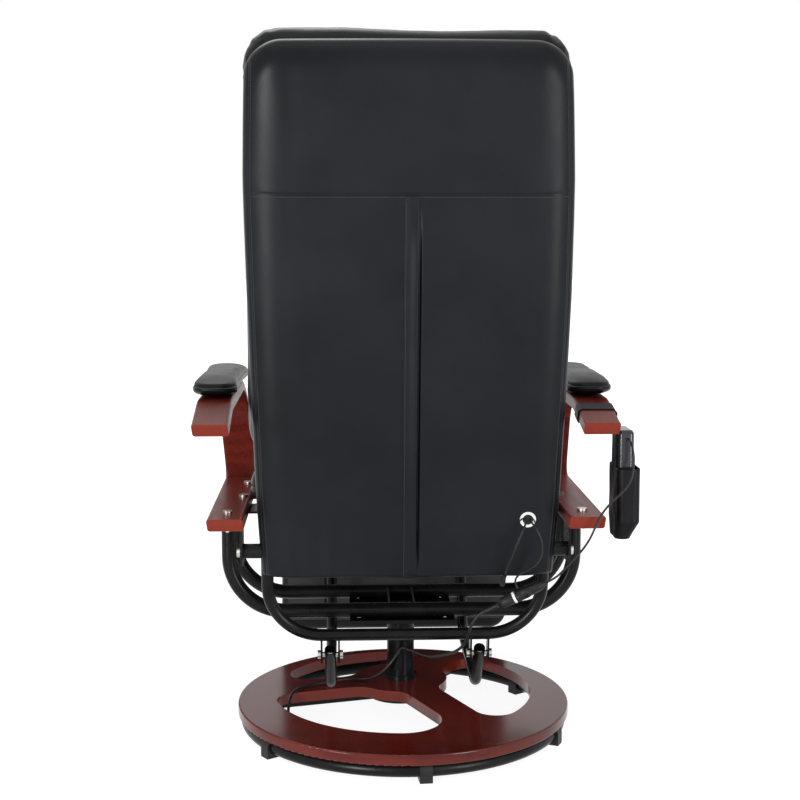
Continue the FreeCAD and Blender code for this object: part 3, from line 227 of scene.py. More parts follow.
def softbox(name, place, target, size, watts):
    lamp = bpy.data.lights.new(name, "AREA")
    lamp.shape = "RECTANGLE"
    lamp.size, lamp.size_y = size
    lamp.energy = watts
    holder = bpy.data.objects.new(name, lamp)
    holder.location = place
    holder.rotation_euler = (Vector(target) - Vector(place)).to_track_quat("-Z", "Y").to_euler()
    bpy.context.scene.collection.objects.link(holder)
    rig.stage(holder)


def addNode(tree, kind, options=None, **inputs):
    # an input is named as on the node with _ for a space, or i and its number
    made = tree.nodes.new("ShaderNode" + kind)
    for key, value in (options or {}).items():
        setattr(made, key, value)
    for key, value in inputs.items():
        numbered = key[0] == "i" and key[1:].isdigit()
        socket = made.inputs[int(key[1:]) if numbered else key.replace("_", " ")]
        if isinstance(value, bpy.types.NodeSocket):
            tree.links.new(value, socket)
        else:
            socket.default_value = value
    return made


def newMaterial(name):
    made = bpy.data.materials.new(name)
    made.use_nodes = True
    tree = made.node_tree
    tree.nodes.clear()
    return made, tree, addNode(tree, "TexCoord").outputs["Object"]


def backdropRays(tree):
    # the camera, gloss and glass all see the backdrop white
    path = addNode(tree, "LightPath")
    eyes = addNode(tree, "Math", {"operation": "MAXIMUM"}, i0=path.outputs["Is Camera Ray"],
                   i1=path.outputs["Is Transmission Ray"])
    return addNode(tree, "Math", {"operation": "MAXIMUM"}, i0=eyes.outputs[0],
                   i1=path.outputs["Is Glossy Ray"]).outputs[0]


def setStage():
    world = bpy.data.worlds.new("studio")
    bpy.context.scene.world = world
    world.use_nodes = True
    tree = world.node_tree
    tree.nodes.clear()
    seen = backdropRays(tree)
    plain = addNode(tree, "Background", Color=studio["worldTone"], Strength=studio["worldStrength"])
    white = addNode(tree, "Background", Color=studio["white"], Strength=1.0)
    mixed = addNode(tree, "MixShader", i0=seen, i1=plain.outputs[0], i2=white.outputs[0])
    addNode(tree, "OutputWorld", Surface=mixed.outputs[0])

    bpy.ops.mesh.primitive_plane_add(size=studio["floorSize"], location=(0.0, 0.0, studio["floorHeight"]))
    ground = bpy.context.object
    ground.name = "studio_floor"
    made, tree, place = newMaterial("paleFloor")
    away = addNode(tree, "VectorMath", {"operation": "LENGTH"}, i0=place).outputs["Value"]
    fade = addNode(tree, "MapRange", {"interpolation_type": "SMOOTHSTEP"}, Value=away,
                   i1=studio["fadeStart"], i2=studio["fadeEnd"], i3=studio["whiteShare"], i4=1.0).outputs[0]
    share = addNode(tree, "Math", {"operation": "MULTIPLY"}, i0=backdropRays(tree), i1=fade)
    matt = addNode(tree, "BsdfDiffuse", Color=studio["floorTone"])
    glow = addNode(tree, "Emission", Color=studio["white"], Strength=studio["floorGlow"])
    mixed = addNode(tree, "MixShader", i0=share.outputs[0], i1=matt.outputs[0], i2=glow.outputs[0])
    addNode(tree, "OutputMaterial", Surface=mixed.outputs[0])
    ground.data.materials.append(made)
    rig.stage(ground)

    for name, place, target, size, watts in lamps:
        softbox(name, place, target, size, watts)


bpy.context.scene.view_settings.view_transform = "Standard"
placeCamera()
setStage()
print("camera and stage placed")


# materials

def cloudy(tree, place, scale, detail, **more):
    return addNode(tree, "TexNoise", Vector=place, Scale=scale, Detail=detail, **more).outputs["Fac"]


def blendTone(tree, factor, first, second):
    return addNode(tree, "Mix", {"data_type": "RGBA"}, i0=factor, i6=first, i7=second).outputs[2]


def finishMaterial(made, tree, tone, rough, relief, **more):
    shader = addNode(tree, "BsdfPrincipled", Base_Color=tone, Roughness=rough,
                     Normal=relief.outputs[0], **more)
    addNode(tree, "OutputMaterial", Surface=shader.outputs[0])
    return made


def spanned(tree, value, low, high, fromLow=0.35, fromHigh=0.65):
    return addNode(tree, "MapRange", Value=value, i1=fromLow, i2=fromHigh, i3=low, i4=high).outputs[0]


leather = {
    "dark": (0.0045, 0.0052, 0.0068, 1.0), "light": (0.0078, 0.0088, 0.0112, 1.0), "specular": 0.13,
    "roughness": (0.33, 0.42), "roughnessDrop": 0.03, "fineShare": 0.06, "fineScale": 260.0,
    "mottleScale": 5.0, "cell": 0.0013, "cellBlend": 0.45, "pore": 0.0006, "poreShare": 0.35,
    "grainStrength": 0.16, "grainDepth": 0.0004,
    "creaseSize": 0.085, "creaseDepth": 0.006, "creaseBend": 0.35,
}


def grainHeight(tree, place, cell):
    pebbles = addNode(tree, "TexVoronoi", {"feature": "SMOOTH_F1"}, Vector=place, Scale=1.0 / cell,
                      Smoothness=leather["cellBlend"], Randomness=1.0)
    pores = cloudy(tree, place, 1.0 / leather["pore"], 2.0, Roughness=0.6)
    return addNode(tree, "Math", {"operation": "MULTIPLY_ADD"}, i0=pores, i1=leather["poreShare"],
                   i2=pebbles.outputs["Distance"]).outputs[0]


def leatherMaterial(name, dark, light, roughness, cell, crease):
    made, tree, place = newMaterial(name)
    mottle = cloudy(tree, place, leather["mottleScale"], 4.0, Roughness=0.55)
    fine = cloudy(tree, place, leather["fineScale"], 2.0)
    tone = blendTone(tree, spanned(tree, mottle, 0.0, 1.0), dark, light)
    least, most = (level - leather["roughnessDrop"] for level in roughness)
    rough = addNode(tree, "Math", {"operation": "MULTIPLY_ADD"}, i0=fine, i1=leather["fineShare"],
                    i2=spanned(tree, mottle, least, most)).outputs[0]
    folds = cloudy(tree, place, 1.0 / leather["creaseSize"], 3.0, Distortion=leather["creaseBend"])
    soft = addNode(tree, "Bump", Strength=crease, Distance=leather["creaseDepth"], Height=folds)
    skin = addNode(tree, "Bump", Strength=leather["grainStrength"], Distance=leather["grainDepth"],
                   Height=grainHeight(tree, place, cell), Normal=soft.outputs[0])
    return finishMaterial(made, tree, tone, rough, skin, Specular_IOR_Level=leather["specular"])


armTone = {
    "dark": (0.068, 0.007, 0.005, 1.0), "mid": (0.136, 0.016, 0.010, 1.0),
    "light": (0.235, 0.038, 0.022, 1.0), "roughness": (0.28, 0.38), "coat": 0.02, "specular": 0.07,
}
# painted shade: the disc's palette is darker than the arms' to stand in for the chair's shadow on the disc; its light
# tone also feeds the painted edge highlight
shadedDiscTone = {
    "dark": (0.036, 0.0025, 0.0018, 1.0), "mid": (0.086, 0.006, 0.004, 1.0),
    "light": (0.215, 0.024, 0.013, 1.0), "roughness": (0.15, 0.21), "coat": 0.08, "specular": 0.26,
}
# the band and blotch shares are grain; the edge shares paint a highlight on the wood's convex edges
grain = {
    "across": 26.0, "along": 1.6, "warp": 0.12, "warpScale": 0.8, "bandScale": 0.55, "bandBend": 5.0,
    "streakScale": 7.0, "blotchScale": 7.0, "bandShare": 0.20, "blotchShare": 0.16, "edgeHighlightShare": 0.45,
    "edgeHighlightFrom": 0.52, "edgeHighlightTo": 0.6, "relief": 0.03, "reliefDepth": 0.0002, "coatRoughness": 0.12,
}


def woodMaterial(name, grainAxis, wood):
    made, tree, place = newMaterial(name)
    stretch = [grain["across"]] * 3
    stretch[grainAxis] = grain["along"]
    mapped = addNode(tree, "Mapping", Vector=place, Scale=tuple(stretch)).outputs[0]
    warp = addNode(tree, "TexNoise", Vector=mapped, Scale=grain["warpScale"], Detail=3.0).outputs["Color"]
    bent = addNode(tree, "Mix", {"data_type": "VECTOR"}, i0=grain["warp"], i4=mapped, i5=warp).outputs[1]
    bandWay = {"wave_type": "BANDS", "bands_direction": "Z" if grainAxis != 2 else "X"}
    bands = addNode(tree, "TexWave", bandWay, Vector=bent, Scale=grain["bandScale"],
                    Distortion=grain["bandBend"], Detail=3.0, Detail_Scale=1.4).outputs["Fac"]
    streaks = cloudy(tree, mapped, grain["streakScale"], 4.0, Roughness=0.65)
    blotch = cloudy(tree, place, grain["blotchScale"], 2.0)
    tone = blendTone(tree, spanned(tree, streaks, 0.0, 1.0, 0.3, 0.7), wood["dark"], wood["mid"])
    # painted highlight: convex edges, found by pointiness, blend towards the light tone as if they caught the lamps
    edge = addNode(tree, "NewGeometry").outputs["Pointiness"]
    for share in (spanned(tree, bands, 0.0, grain["bandShare"], 0.2, 0.9),
                  spanned(tree, blotch, 0.0, grain["blotchShare"]),
                  spanned(tree, edge, 0.0, grain["edgeHighlightShare"], grain["edgeHighlightFrom"], grain["edgeHighlightTo"])):
        tone = blendTone(tree, share, tone, wood["light"])
    rough = spanned(tree, streaks, wood["roughness"][0], wood["roughness"][1], 0.3, 0.7)
    relief = addNode(tree, "Bump", Strength=grain["relief"], Distance=grain["reliefDepth"], Height=streaks)
    return finishMaterial(made, tree, tone, rough, relief, Specular_IOR_Level=wood["specular"],
                          Coat_Weight=wood["coat"], Coat_Roughness=grain["coatRoughness"])


paint = {
    "dustScale": 18.0, "dustLift": 1.45, "dustBase": 0.003, "roughness": (0.85, 1.25), "peelDepth": 0.0003,
}
# tone, roughness, metallic share, specular level, grain scale and grain strength
paints = {
    "threadBlack": ((0.03, 0.031, 0.034), 0.6, 0.0, 0.5, 4000.0, 0.05),
    "blackPowderCoat": ((0.003, 0.003, 0.0033), 0.26, 0.0, 0.15, 700.0, 0.08),
    "zincPlate": ((0.46, 0.45, 0.42), 0.3, 1.0, 0.5, 1500.0, 0.05),
    "chromePlate": ((0.75, 0.75, 0.76), 0.1, 1.0, 0.5, 900.0, 0.02),
    "blackPlastic": ((0.006, 0.006, 0.0065), 0.42, 0.0, 0.25, 1600.0, 0.12),
    "glossPlastic": ((0.010, 0.010, 0.012), 0.16, 0.0, 0.5, 300.0, 0.03),
    "whitePlastic": ((0.62, 0.62, 0.60), 0.4, 0.0, 0.5, 1200.0, 0.05),
    "keyRubber": ((0.09, 0.09, 0.10), 0.6, 0.0, 0.5, 1800.0, 0.15),
    "cordRubber": ((0.006, 0.006, 0.0065), 0.38, 0.0, 0.3, 900.0, 0.1),
}


def paintMaterial(name):
    tone, roughness, metallic, specular, grainScale, grainStrength = paints[name]
    made, tree, place = newMaterial(name)
    dust = cloudy(tree, place, paint["dustScale"], 3.0)
    peel = cloudy(tree, place, grainScale, 1.0)
    lighter = tuple(min(1.0, channel * paint["dustLift"] + paint["dustBase"]) for channel in tone)
    colour = blendTone(tree, spanned(tree, dust, 0.0, 1.0), tone + (1.0,), lighter + (1.0,))
    least, most = paint["roughness"]
    rough = spanned(tree, dust, roughness * least, roughness * most)
    relief = addNode(tree, "Bump", Strength=grainStrength, Distance=paint["peelDepth"], Height=peel)
    return finishMaterial(made, tree, colour, rough, relief, Metallic=metallic, Specular_IOR_Level=specular)


ply = {"dark": (0.010, 0.009, 0.009, 1.0), "light": (0.022, 0.020, 0.019, 1.0), "stretch": (3.0, 40.0, 420.0),
       "roughness": 0.7, "relief": 0.3, "reliefDepth": 0.0004}


def plyMaterial():
    made, tree, place = newMaterial("blackStainedPly")
    mapped = addNode(tree, "Mapping", Vector=place, Scale=ply["stretch"]).outputs[0]
    layers = cloudy(tree, mapped, 2.0, 4.0)
    tone = blendTone(tree, spanned(tree, layers, 0.0, 1.0), ply["dark"], ply["light"])
    relief = addNode(tree, "Bump", Strength=ply["relief"], Distance=ply["reliefDepth"], Height=layers)
    return finishMaterial(made, tree, tone, ply["roughness"], relief)


blackLeather = leatherMaterial("blackLeather", leather["dark"], leather["light"], leather["roughness"],
                               leather["cell"], 0.10)
padLeather = leatherMaterial("padLeather", (0.006, 0.0063, 0.007, 1.0), (0.0105, 0.0105, 0.012, 1.0),
                             (0.33, 0.42), 0.0011, 0.14)
pouchLeather = leatherMaterial("pouchLeather", (0.0035, 0.0035, 0.0045, 1.0), (0.007, 0.007, 0.008, 1.0),
                               (0.45, 0.6), 0.0012, 0.35)
threadBlack = paintMaterial("threadBlack")
# the disc's mahogany carries painted shade from the chair above it
shadedDiscWood = woodMaterial("mahoganyDiscShaded", 0, shadedDiscTone)
armWood = woodMaterial("mahoganyArm", 1, armTone)
blackSteel = paintMaterial("blackPowderCoat")
zincSteel = paintMaterial("zincPlate")
chromeSteel = paintMaterial("chromePlate")
mattPlastic = paintMaterial("blackPlastic")
glossPlastic = paintMaterial("glossPlastic")
whitePlastic = paintMaterial("whitePlastic")
keyRubber = paintMaterial("keyRubber")
cordRubber = paintMaterial("cordRubber")
plywood = plyMaterial()
print("materials made")


# shapes shared by the soft pieces

lean = math.radians(9.0)
backFoot = Vector((0.0, 0.205, 0.324))


def backPoint(x, y, z):
    return (x, backFoot.y + y * math.cos(lean) + z * math.sin(lean),
            backFoot.z - y * math.sin(lean) + z * math.cos(lean))


def backLocal(points):
    across = points[:, 1] - backFoot.y
    up = points[:, 2] - backFoot.z
    return np.column_stack((points[:, 0], across * math.cos(lean) - up * math.sin(lean),
                            across * math.sin(lean) + up * math.cos(lean)))


def backWay(x, y, z):
    return np.array(backPoint(x, y, z)) - np.array(backPoint(0.0, 0.0, 0.0))


def backWorld(local):
    return np.array([backPoint(*row) for row in local])


def fitted(points, low, high):
    # a filled cover keeps the size that it is cut to
    least, most = points.min(axis=0), points.max(axis=0)
    return np.array(low) + (points - least) / (most - least) * (np.array(high) - np.array(low))


def makePiece(name, points, faces, material):
    mesh = bpy.data.meshes.new(name)
    mesh.from_pydata([tuple(point) for point in points], [], faces)
    work = bmesh.new()
    work.from_mesh(mesh)
    bmesh.ops.remove_doubles(work, verts=work.verts, dist=1e-6)
    bmesh.ops.recalc_face_normals(work, faces=work.faces)
    work.to_mesh(mesh)
    work.free()
    mesh.polygons.foreach_set("use_smooth", [True] * len(mesh.polygons))
    mesh.materials.append(material)
    piece = bpy.data.objects.new(name, mesh)
    bpy.context.scene.collection.objects.link(piece)
    return piece


def gridFaces(rows, columns, closed=False):
    faces = []
    for row in range(rows - 1):
        for column in range(columns if closed else columns - 1):
            after = (column + 1) % columns
            faces.append((row * columns + column, row * columns + after,
                          (row + 1) * columns + after, (row + 1) * columns + column))
    return faces


def smoothStep(value):
    value = min(max(value, 0.0), 1.0)
    return value * value * (3.0 - 2.0 * value)


def roundRise(distance, radius, power=2.4):
    left = 1.0 - min(max(distance / radius, 0.0), 1.0)
    return (1.0 - left ** power) ** (1.0 / power)


def groove(distance, width):
    return math.exp(-(distance / width) ** 2)


def coordinates(piece):
    flat = np.empty(len(piece.data.vertices) * 3)
    piece.data.vertices.foreach_get("co", flat)
    return flat.reshape(-1, 3)


def setCoordinates(piece, points):
    piece.data.vertices.foreach_set("co", points.reshape(-1))
    piece.data.update()


def normals(piece):
    flat = np.empty(len(piece.data.vertices) * 3)
    piece.data.vertices.foreach_get("normal", flat)
    return flat.reshape(-1, 3)


def applyAll(piece):
    bpy.context.view_layer.update()
    shown = piece.evaluated_get(bpy.context.evaluated_depsgraph_get())
    fresh = bpy.data.meshes.new_from_object(shown)
    piece.modifiers.clear()
    piece.data = fresh
    fresh.polygons.foreach_set("use_smooth", [True] * len(fresh.polygons))


def remeshed(piece, voxel):
    modifier = piece.modifiers.new("remesh", "REMESH")
    modifier.mode = "VOXEL"
    modifier.voxel_size = voxel
    applyAll(piece)


def copyNode(node, name, material, voxel):
    mesh = nodes[node].data.copy()
    mesh.materials.clear()
    mesh.materials.append(material)
    piece = bpy.data.objects.new(name, mesh)
    bpy.context.scene.collection.objects.link(piece)
    remeshed(piece, voxel)
    return piece


def relax(piece, rounds):
    modifier = piece.modifiers.new("relax", "SMOOTH")
    modifier.factor = 0.5
    modifier.iterations = rounds
    applyAll(piece)


filling = {"pressure": 4.0, "frames": 20, "quality": 4, "mass": 0.3, "stretch": 12.0, "bend": 0.6}


def swell(piece, cap, shrink):
    # the filling presses the cover outwards, each point by the cap at most
    setCoordinates(piece, coordinates(piece) - normals(piece) * shrink)
    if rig.quick():
        return
    scene = bpy.context.scene
    start = coordinates(piece)
    modifier = piece.modifiers.new("swell", "CLOTH")
    settings = modifier.settings
    settings.quality = filling["quality"]
    settings.mass = filling["mass"]
    settings.tension_stiffness = filling["stretch"]
    settings.compression_stiffness = filling["stretch"]
    settings.bending_stiffness = filling["bend"]
    settings.use_pressure = True
    settings.uniform_pressure_force = filling["pressure"]
    settings.effector_weights.gravity = 0.0
    modifier.point_cache.frame_start = 1
    modifier.point_cache.frame_end = filling["frames"]
    for frameNumber in range(1, filling["frames"] + 1):
        scene.frame_set(frameNumber)
    shift = coordinates(piece.evaluated_get(bpy.context.evaluated_depsgraph_get())) - start
    length = np.maximum(np.linalg.norm(shift, axis=1), 1e-9)
    piece.modifiers.clear()
    scene.frame_set(1)
    setCoordinates(piece, start + shift * np.minimum(1.0, cap / length)[:, None])


def subdivide(piece, levels=1):
    modifier = piece.modifiers.new("subdivision", "SUBSURF")
    modifier.levels = levels
    modifier.render_levels = levels


def thicken(piece, thickness, offset=0.0):
    shell = piece.modifiers.new("thickness", "SOLIDIFY")
    shell.thickness = thickness
    shell.offset = offset


def fitOut(piece, body, slot, *replaced):
    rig.ride(piece, body)
    if replaced:
        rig.replaces(piece, *replaced)
    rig.slot(piece, slot)


stitch = {
    "spacing": 0.0042, "length": 0.0029, "radius": 0.00042, "corners": 6,
    # for each ring of a stitch: its place along, its share of the radius and its lift
    "rings": ((-0.50, 0.35, -0.4), (-0.25, 1.0, 0.35), (0.25, 1.0, 0.35), (0.50, 0.35, -0.4)),
}


def pointAt(place, reach, line):
    return np.array([np.interp(place, reach, line[:, axis]) for axis in range(3)])


def stitchRow(name, line, outward):
    # line holds points along the seam; outward holds the way each stitch stands out of the leather
    line, outward = np.array(line), np.array(outward)
    steps = np.linalg.norm(np.diff(line, axis=0), axis=1)
    reach = np.concatenate(([0.0], np.cumsum(steps)))
    corners, radius, spacing = stitch["corners"], stitch["radius"], stitch["spacing"]
    points, faces = [], []
    for place in np.arange(spacing, reach[-1] - spacing, spacing):
        ends = [pointAt(place + shift * stitch["length"], reach, line) for shift, _, _ in stitch["rings"]]
        out = pointAt(place, reach, outward)
        out /= np.linalg.norm(out)
        along = ends[-1] - ends[0]
        along /= np.linalg.norm(along)
        side = np.cross(along, out)
        base = len(points)
        for end, (_, share, lift) in zip(ends, stitch["rings"]):
            for corner in range(corners):
                turn = corner * 2.0 * math.pi / corners
                points.append(end + radius * share * (math.cos(turn) * side + math.sin(turn) * out)
                              + out * radius * lift)
        for face in gridFaces(len(ends), corners, closed=True):
            faces.append(tuple(base + index for index in face))
        for first in (base, len(points) - corners):
            faces.append(tuple(first + corner for corner in range(corners)))
    row = makePiece(name, points, faces, threadBlack)
    fitOut(row, "back", "upholstery")


# rear cover of the back: one leather envelope with a cross seam, side seams and a strip over the opening

cover = {
    "hem": -0.040, "top": 0.8015, "topHalf": 0.2445, "topCrown": 0.002, "corner": 0.057, "usualHalf": 0.243,
    "halfWidths": ((-0.040, 0.2365), (0.03, 0.2405), (0.10, 0.2440), (0.30, 0.2490), (0.42, 0.2510),
                   (0.54, 0.2515), (0.60, 0.2512), (0.67, 0.2485), (0.715, 0.2465), (0.745, 0.2450),
                   (0.81, 0.2440)),
    "shifts": ((-0.040, -0.0035), (0.10, -0.0038), (0.42, -0.0035), (0.60, -0.0015), (0.75, 0.0)),
    "edge": -0.003, "rear": 0.0320, "front": -0.0128, "sideRound": 0.066, "topRound": 0.050,
    "hemRound": 0.012, "hemRise": 0.002, "sideReach": 0.24, "shoulder": 0.70, "lowReach": 0.22,
    "wall": 0.0022, "turnSteps": (0.35, 0.7, 1.0), "turnIn": 0.0025,
    "crossSeam": 0.5795, "sideSeam": 0.0085, "seamDepth": 0.0011, "seamWidth": 0.0013, "stitchDrop": 0.0045,
    "stitchInset": 0.0042, "stitchLift": 0.0001, "puffPlace": 0.010, "puffWidth": 0.009, "puff": 0.0002,
    "slotPlace": -0.0172, "slotWidth": 0.0019, "slotDepth": 0.0052, "slotFadeTop": 0.16, "slotFadeFoot": 0.06,
    "grommet": (-0.193, 0.062), "grommetReach": 0.017, "grommetDip": 0.0012,
}
# height, waves across, waves upwards and seed of each kind of soft fold
coverFolds = {
    "upright": (0.0009, 34.0, 2.6, 3.1), "broad": (0.0014, 7.0, 5.0, 9.7), "hem": (0.0016, 46.0, 7.0, 1.4),
    "seam": (0.0006, 6.0, 26.0, 5.5), "shoulder": (0.0016, 30.0, 9.0, 7.7),
}


def coverHalf(z):
    heights, widths = zip(*cover["halfWidths"])
    return float(np.interp(z, heights, widths))


def coverSide(u, z):
    # the cover hangs a few millimetres to the image's right lower down
    heights, shifts = zip(*cover["shifts"])
    return u * coverHalf(z) + float(np.interp(z, heights, shifts))


def coverTop(u):
    # the top edge turns down into round corners
    past = abs(u) * cover["topHalf"] - (cover["topHalf"] - cover["corner"])
    crown = cover["topCrown"] * (1.0 - u * u)
    if past <= 0.0:
        return cover["top"] + crown
    return cover["top"] - cover["corner"] + math.sqrt(max(cover["corner"] ** 2 - past ** 2, 0.0)) + crown


def softFold(kind, x, z):
    height, across, upwards, seed = coverFolds[kind]
    return height * noise.noise(Vector((x * across, z * upwards, seed)))


def coverCrease(x, z):
    # long soft folds: upright ones near the sides and hem, fainter ones in the middle
    side = abs(x) / cover["sideReach"]
    low = 1.0 - smoothStep((z - cover["hem"]) / cover["lowReach"])
    upper = smoothStep((z - cover["shoulder"]) / 0.06)
    return (softFold("upright", x, z) * (0.25 + side ** 3) + softFold("broad", x, z)
            + softFold("hem", x, z) * low + softFold("seam", x, z) * groove(z - cover["crossSeam"], 0.05)
            + softFold("shoulder", x, z) * upper * side ** 2)


def coverDepth(x, z, u):
    look = cover
    sideGap = (1.0 - abs(u)) * coverHalf(z)
    rise = roundRise(sideGap, look["sideRound"]) * roundRise(coverTop(u) - z, look["topRound"], 2.2)
    rise *= roundRise(z - look["hem"] + look["hemRise"], look["hemRound"], 2.0)
    depth = look["edge"] + (look["rear"] - look["edge"]) * rise
    depth += coverCrease(x, z) * rise
    seam = groove(z - look["crossSeam"], look["seamWidth"])
    seam = max(seam, groove(sideGap - look["sideSeam"], look["seamWidth"]))
    puff = groove(z - look["crossSeam"] - look["puffPlace"], look["puffWidth"]) * look["puff"]
    grommet = math.hypot(x - look["grommet"][0], z - look["grommet"][1])
    gape = smoothStep((look["crossSeam"] - z) / look["slotFadeTop"])
    gape *= smoothStep((z - look["hem"]) / look["slotFadeFoot"])
    slot = look["slotDepth"] * gape * groove(x - look["slotPlace"], look["slotWidth"])
    return (depth - look["seamDepth"] * seam + puff * rise
            - look["grommetDip"] * groove(grommet, look["grommetReach"]) - slot)


def stations(low, high, step, finePlaces, fineReach, fineStep):
    values = list(np.arange(low, high, step)) + [high]
    for place in finePlaces:
        values += list(np.arange(place - fineReach, place + fineReach, fineStep))
    values = sorted(value for value in values if low <= value <= high)
    kept = [values[0]]
    for value in values[1:]:
        if value - kept[-1] > fineStep * 0.6:
            kept.append(value)
    kept[-1] = high
    return kept


def rearCover():
    look = cover
    seamShare = 1.0 - look["sideSeam"] / look["usualHalf"]
    finePlaces = (-seamShare, seamShare, -0.995, 0.995, look["slotPlace"] / look["usualHalf"])
    across = stations(-1.0, 1.0, 0.022, finePlaces, 0.016, 0.0032)
    seamRise = (look["crossSeam"] - look["hem"]) / (look["top"] - look["hem"])
    up = stations(0.0, 1.0, 0.009, (seamRise, 0.0, 1.0), 0.012, 0.0012)
    rows = []
    for share in up:
        row = []
        for u in across:
            z = look["hem"] + (coverTop(u) - look["hem"]) * share
            x = coverSide(u, z)
            row.append((x, coverDepth(x, z, u), z))
        rows.append(row)
    columns, last = len(across), len(rows) - 1
    points = [backPoint(*point) for row in rows for point in row]
    faces = gridFaces(len(rows), columns)
    # the rim goes up one side, over the top and down the other, and turns forward round the edge
    rim = [row[0] for row in rows] + rows[last][1:-1] + [row[-1] for row in reversed(rows)]
    previous = [row * columns for row in range(len(rows))]
    previous += [last * columns + column for column in range(1, columns - 1)]
    previous += [row * columns + columns - 1 for row in reversed(range(len(rows)))]
    for step in look["turnSteps"]:
        inward = look["turnIn"] * step * step
        front = look["edge"] + (look["front"] - look["edge"]) * step
        current = list(range(len(points), len(points) + len(rim)))
        for x, y, z in rim:
            points.append(backPoint(x * (1.0 - inward / look["sideReach"]),
                                    min(y, front) if step < 1.0 else front,
                                    z - inward * smoothStep((z - look["shoulder"]) / 0.08)))
        for place in range(len(rim) - 1):
            faces.append((previous[place], previous[place + 1], current[place + 1], current[place]))
        previous = current
    piece = makePiece("rear_cover", points, faces, blackLeather)
    thicken(piece, look["wall"], -1.0)
    subdivide(piece)
    fitOut(piece, "back", "upholstery", "back_cover_lower", "back_cover_upper")


def coverSlope(x, z, reach=0.001):
    after = coverDepth(x + reach, z, (x + reach) / coverHalf(z))
    before = coverDepth(x - reach, z, (x - reach) / coverHalf(z))
    return (after - before) / (2.0 * reach)


def coverStitches():
    # one row below the cross seam and one inside each side seam
    z = cover["crossSeam"] - cover["stitchDrop"]
    lines = [[(coverSide(u, z), z, u) for u in np.linspace(-0.955, 0.955, 160)]]
    inset = cover["sideSeam"] + cover["stitchInset"]
    for side in (-1.0, 1.0):
        line = []
        for z in np.linspace(-0.036, 0.772, 180):
            u = side * (1.0 - inset / coverHalf(z))
            line.append((coverSide(u, z), z, u))
        lines.append(line)
    for index, line in enumerate(lines):
        world = [backPoint(x, coverDepth(x, z, u) + cover["stitchLift"], z) for x, z, u in line]
        outward = [backWay(-coverSlope(x, z), 1.0, 0.0) for x, z, u in line]
        stitchRow("cover_stitches_%d" % (index + 1), world, outward)


flap = {
    "middle": -0.0040, "half": 0.0112, "foot": -0.037, "seamGap": 0.0015, "thickness": 0.0016, "rise": 0.0011,
    "lift": 0.0042, "hump": 0.0005, "sway": 0.0012, "stitchInset": 0.0028, "stitchLift": 0.0021,
}


def openingStrip():
    across = np.linspace(-1.0, 1.0, 13)
    up = np.linspace(flap["foot"], cover["crossSeam"] - flap["seamGap"], 130)
    points = []
    for z in up:
        for s in across:
            sway = flap["sway"] * noise.noise(Vector((1.7, z * 7.0, 0.3)))
            x = flap["middle"] + sway + s * flap["half"]
            free = smoothStep((0.25 - s) / 1.25)       # image right is the loose edge
            ends = smoothStep((cover["crossSeam"] - z) / 0.10) * (0.35 + 0.65 * smoothStep((z + 0.03) / 0.2))
            wave = 0.5 + 0.5 * noise.noise(Vector((0.4, z * 9.0, 2.2)))
            lift = flap["lift"] * free * ends * (0.45 + 0.75 * wave)
            hump = flap["hump"] * math.cos(s * math.pi)
            points.append(backPoint(x, coverDepth(x, z, x / coverHalf(z)) + flap["rise"] + lift + hump, z))
    piece = makePiece("opening_strip", points, gridFaces(len(up), len(across)), blackLeather)
    thicken(piece, flap["thickness"])
    subdivide(piece)
    fitOut(piece, "back", "upholstery", "back_flap")
    x = flap["middle"] + flap["half"] - flap["stitchInset"]
    world = [backPoint(x, coverDepth(x, z, x / coverHalf(z)) + flap["stitchLift"], z)
             for z in np.linspace(flap["foot"] + 0.004, cover["crossSeam"] - 0.006, 200)]
    stitchRow("strip_stitches", world, [backWay(0.0, 1.0, 0.0)] * len(world))


rearCover()
coverStitches()
openingStrip()
print("rear cover made")


# padded pieces start as a crowned pillow on a rounded rectangular plan

def planPoint(s, t, halfWide, halfLong, radius):
    # a square's ring moved onto a rectangle with round corners
    size = max(abs(s), abs(t))
    if size == 0.0:
        return 0.0, 0.0
    s, t = s / size, t / size
    sideways = abs(s) >= abs(t)
    along, half, other = (abs(t), halfLong, halfWide) if sideways else (abs(s), halfWide, halfLong)
    run = along * half
    out = other
    if run > half - radius:
        turn = 0.25 * math.pi * (run - half + radius) / radius
        run = half - radius + radius * math.sin(turn)
        out = other - radius + radius * math.cos(turn)
    x, y = (out, run) if sideways else (run, out)
    return math.copysign(x, s) * size, math.copysign(y, t) * size


def pillow(name, look, halfLong, thick, place):
    cells, halfWide, edge = look["cells"], look["halfWidth"], look["edge"]
    shares = [math.sin(0.5 * math.pi * (2.0 * index / cells - 1.0)) for index in range(cells + 1)]
    top, bottom = [], []
    for t in shares:
        for s in shares:
            x, y = planPoint(s, t, halfWide, halfLong, look["corner"])
            gap = (1.0 - max(abs(s), abs(t))) * min(halfWide, halfLong)
            dome = look["crown"] * (1.0 - s ** 4) * (1.0 - t ** 4)
            top.append((x, y, 0.5 * thick * roundRise(gap, edge, 2.3) + dome))
            bottom.append((x, y, -0.5 * thick * roundRise(gap, edge * 0.7, 2.6)))
    columns = cells + 1
    faces = gridFaces(columns, columns)
    faces += [tuple(reversed([index + columns * columns for index in face])) for face in faces]
    piece = makePiece(name, [place(*point) for point in top + bottom], faces, padLeather)
    remeshed(piece, look["voxel"])
    swell(piece, look["cap"], look["shrink"])
    return piece


def refined(piece):
    subdivide(piece)
    applyAll(piece)


def pressed(piece, depth):
    # depth gives how far each point sinks along its normal
    points = coordinates(piece)
    ways = normals(piece)
    sunk = np.array([depth(*point) for point in points])
    setCoordinates(piece, points - ways * sunk[:, None])


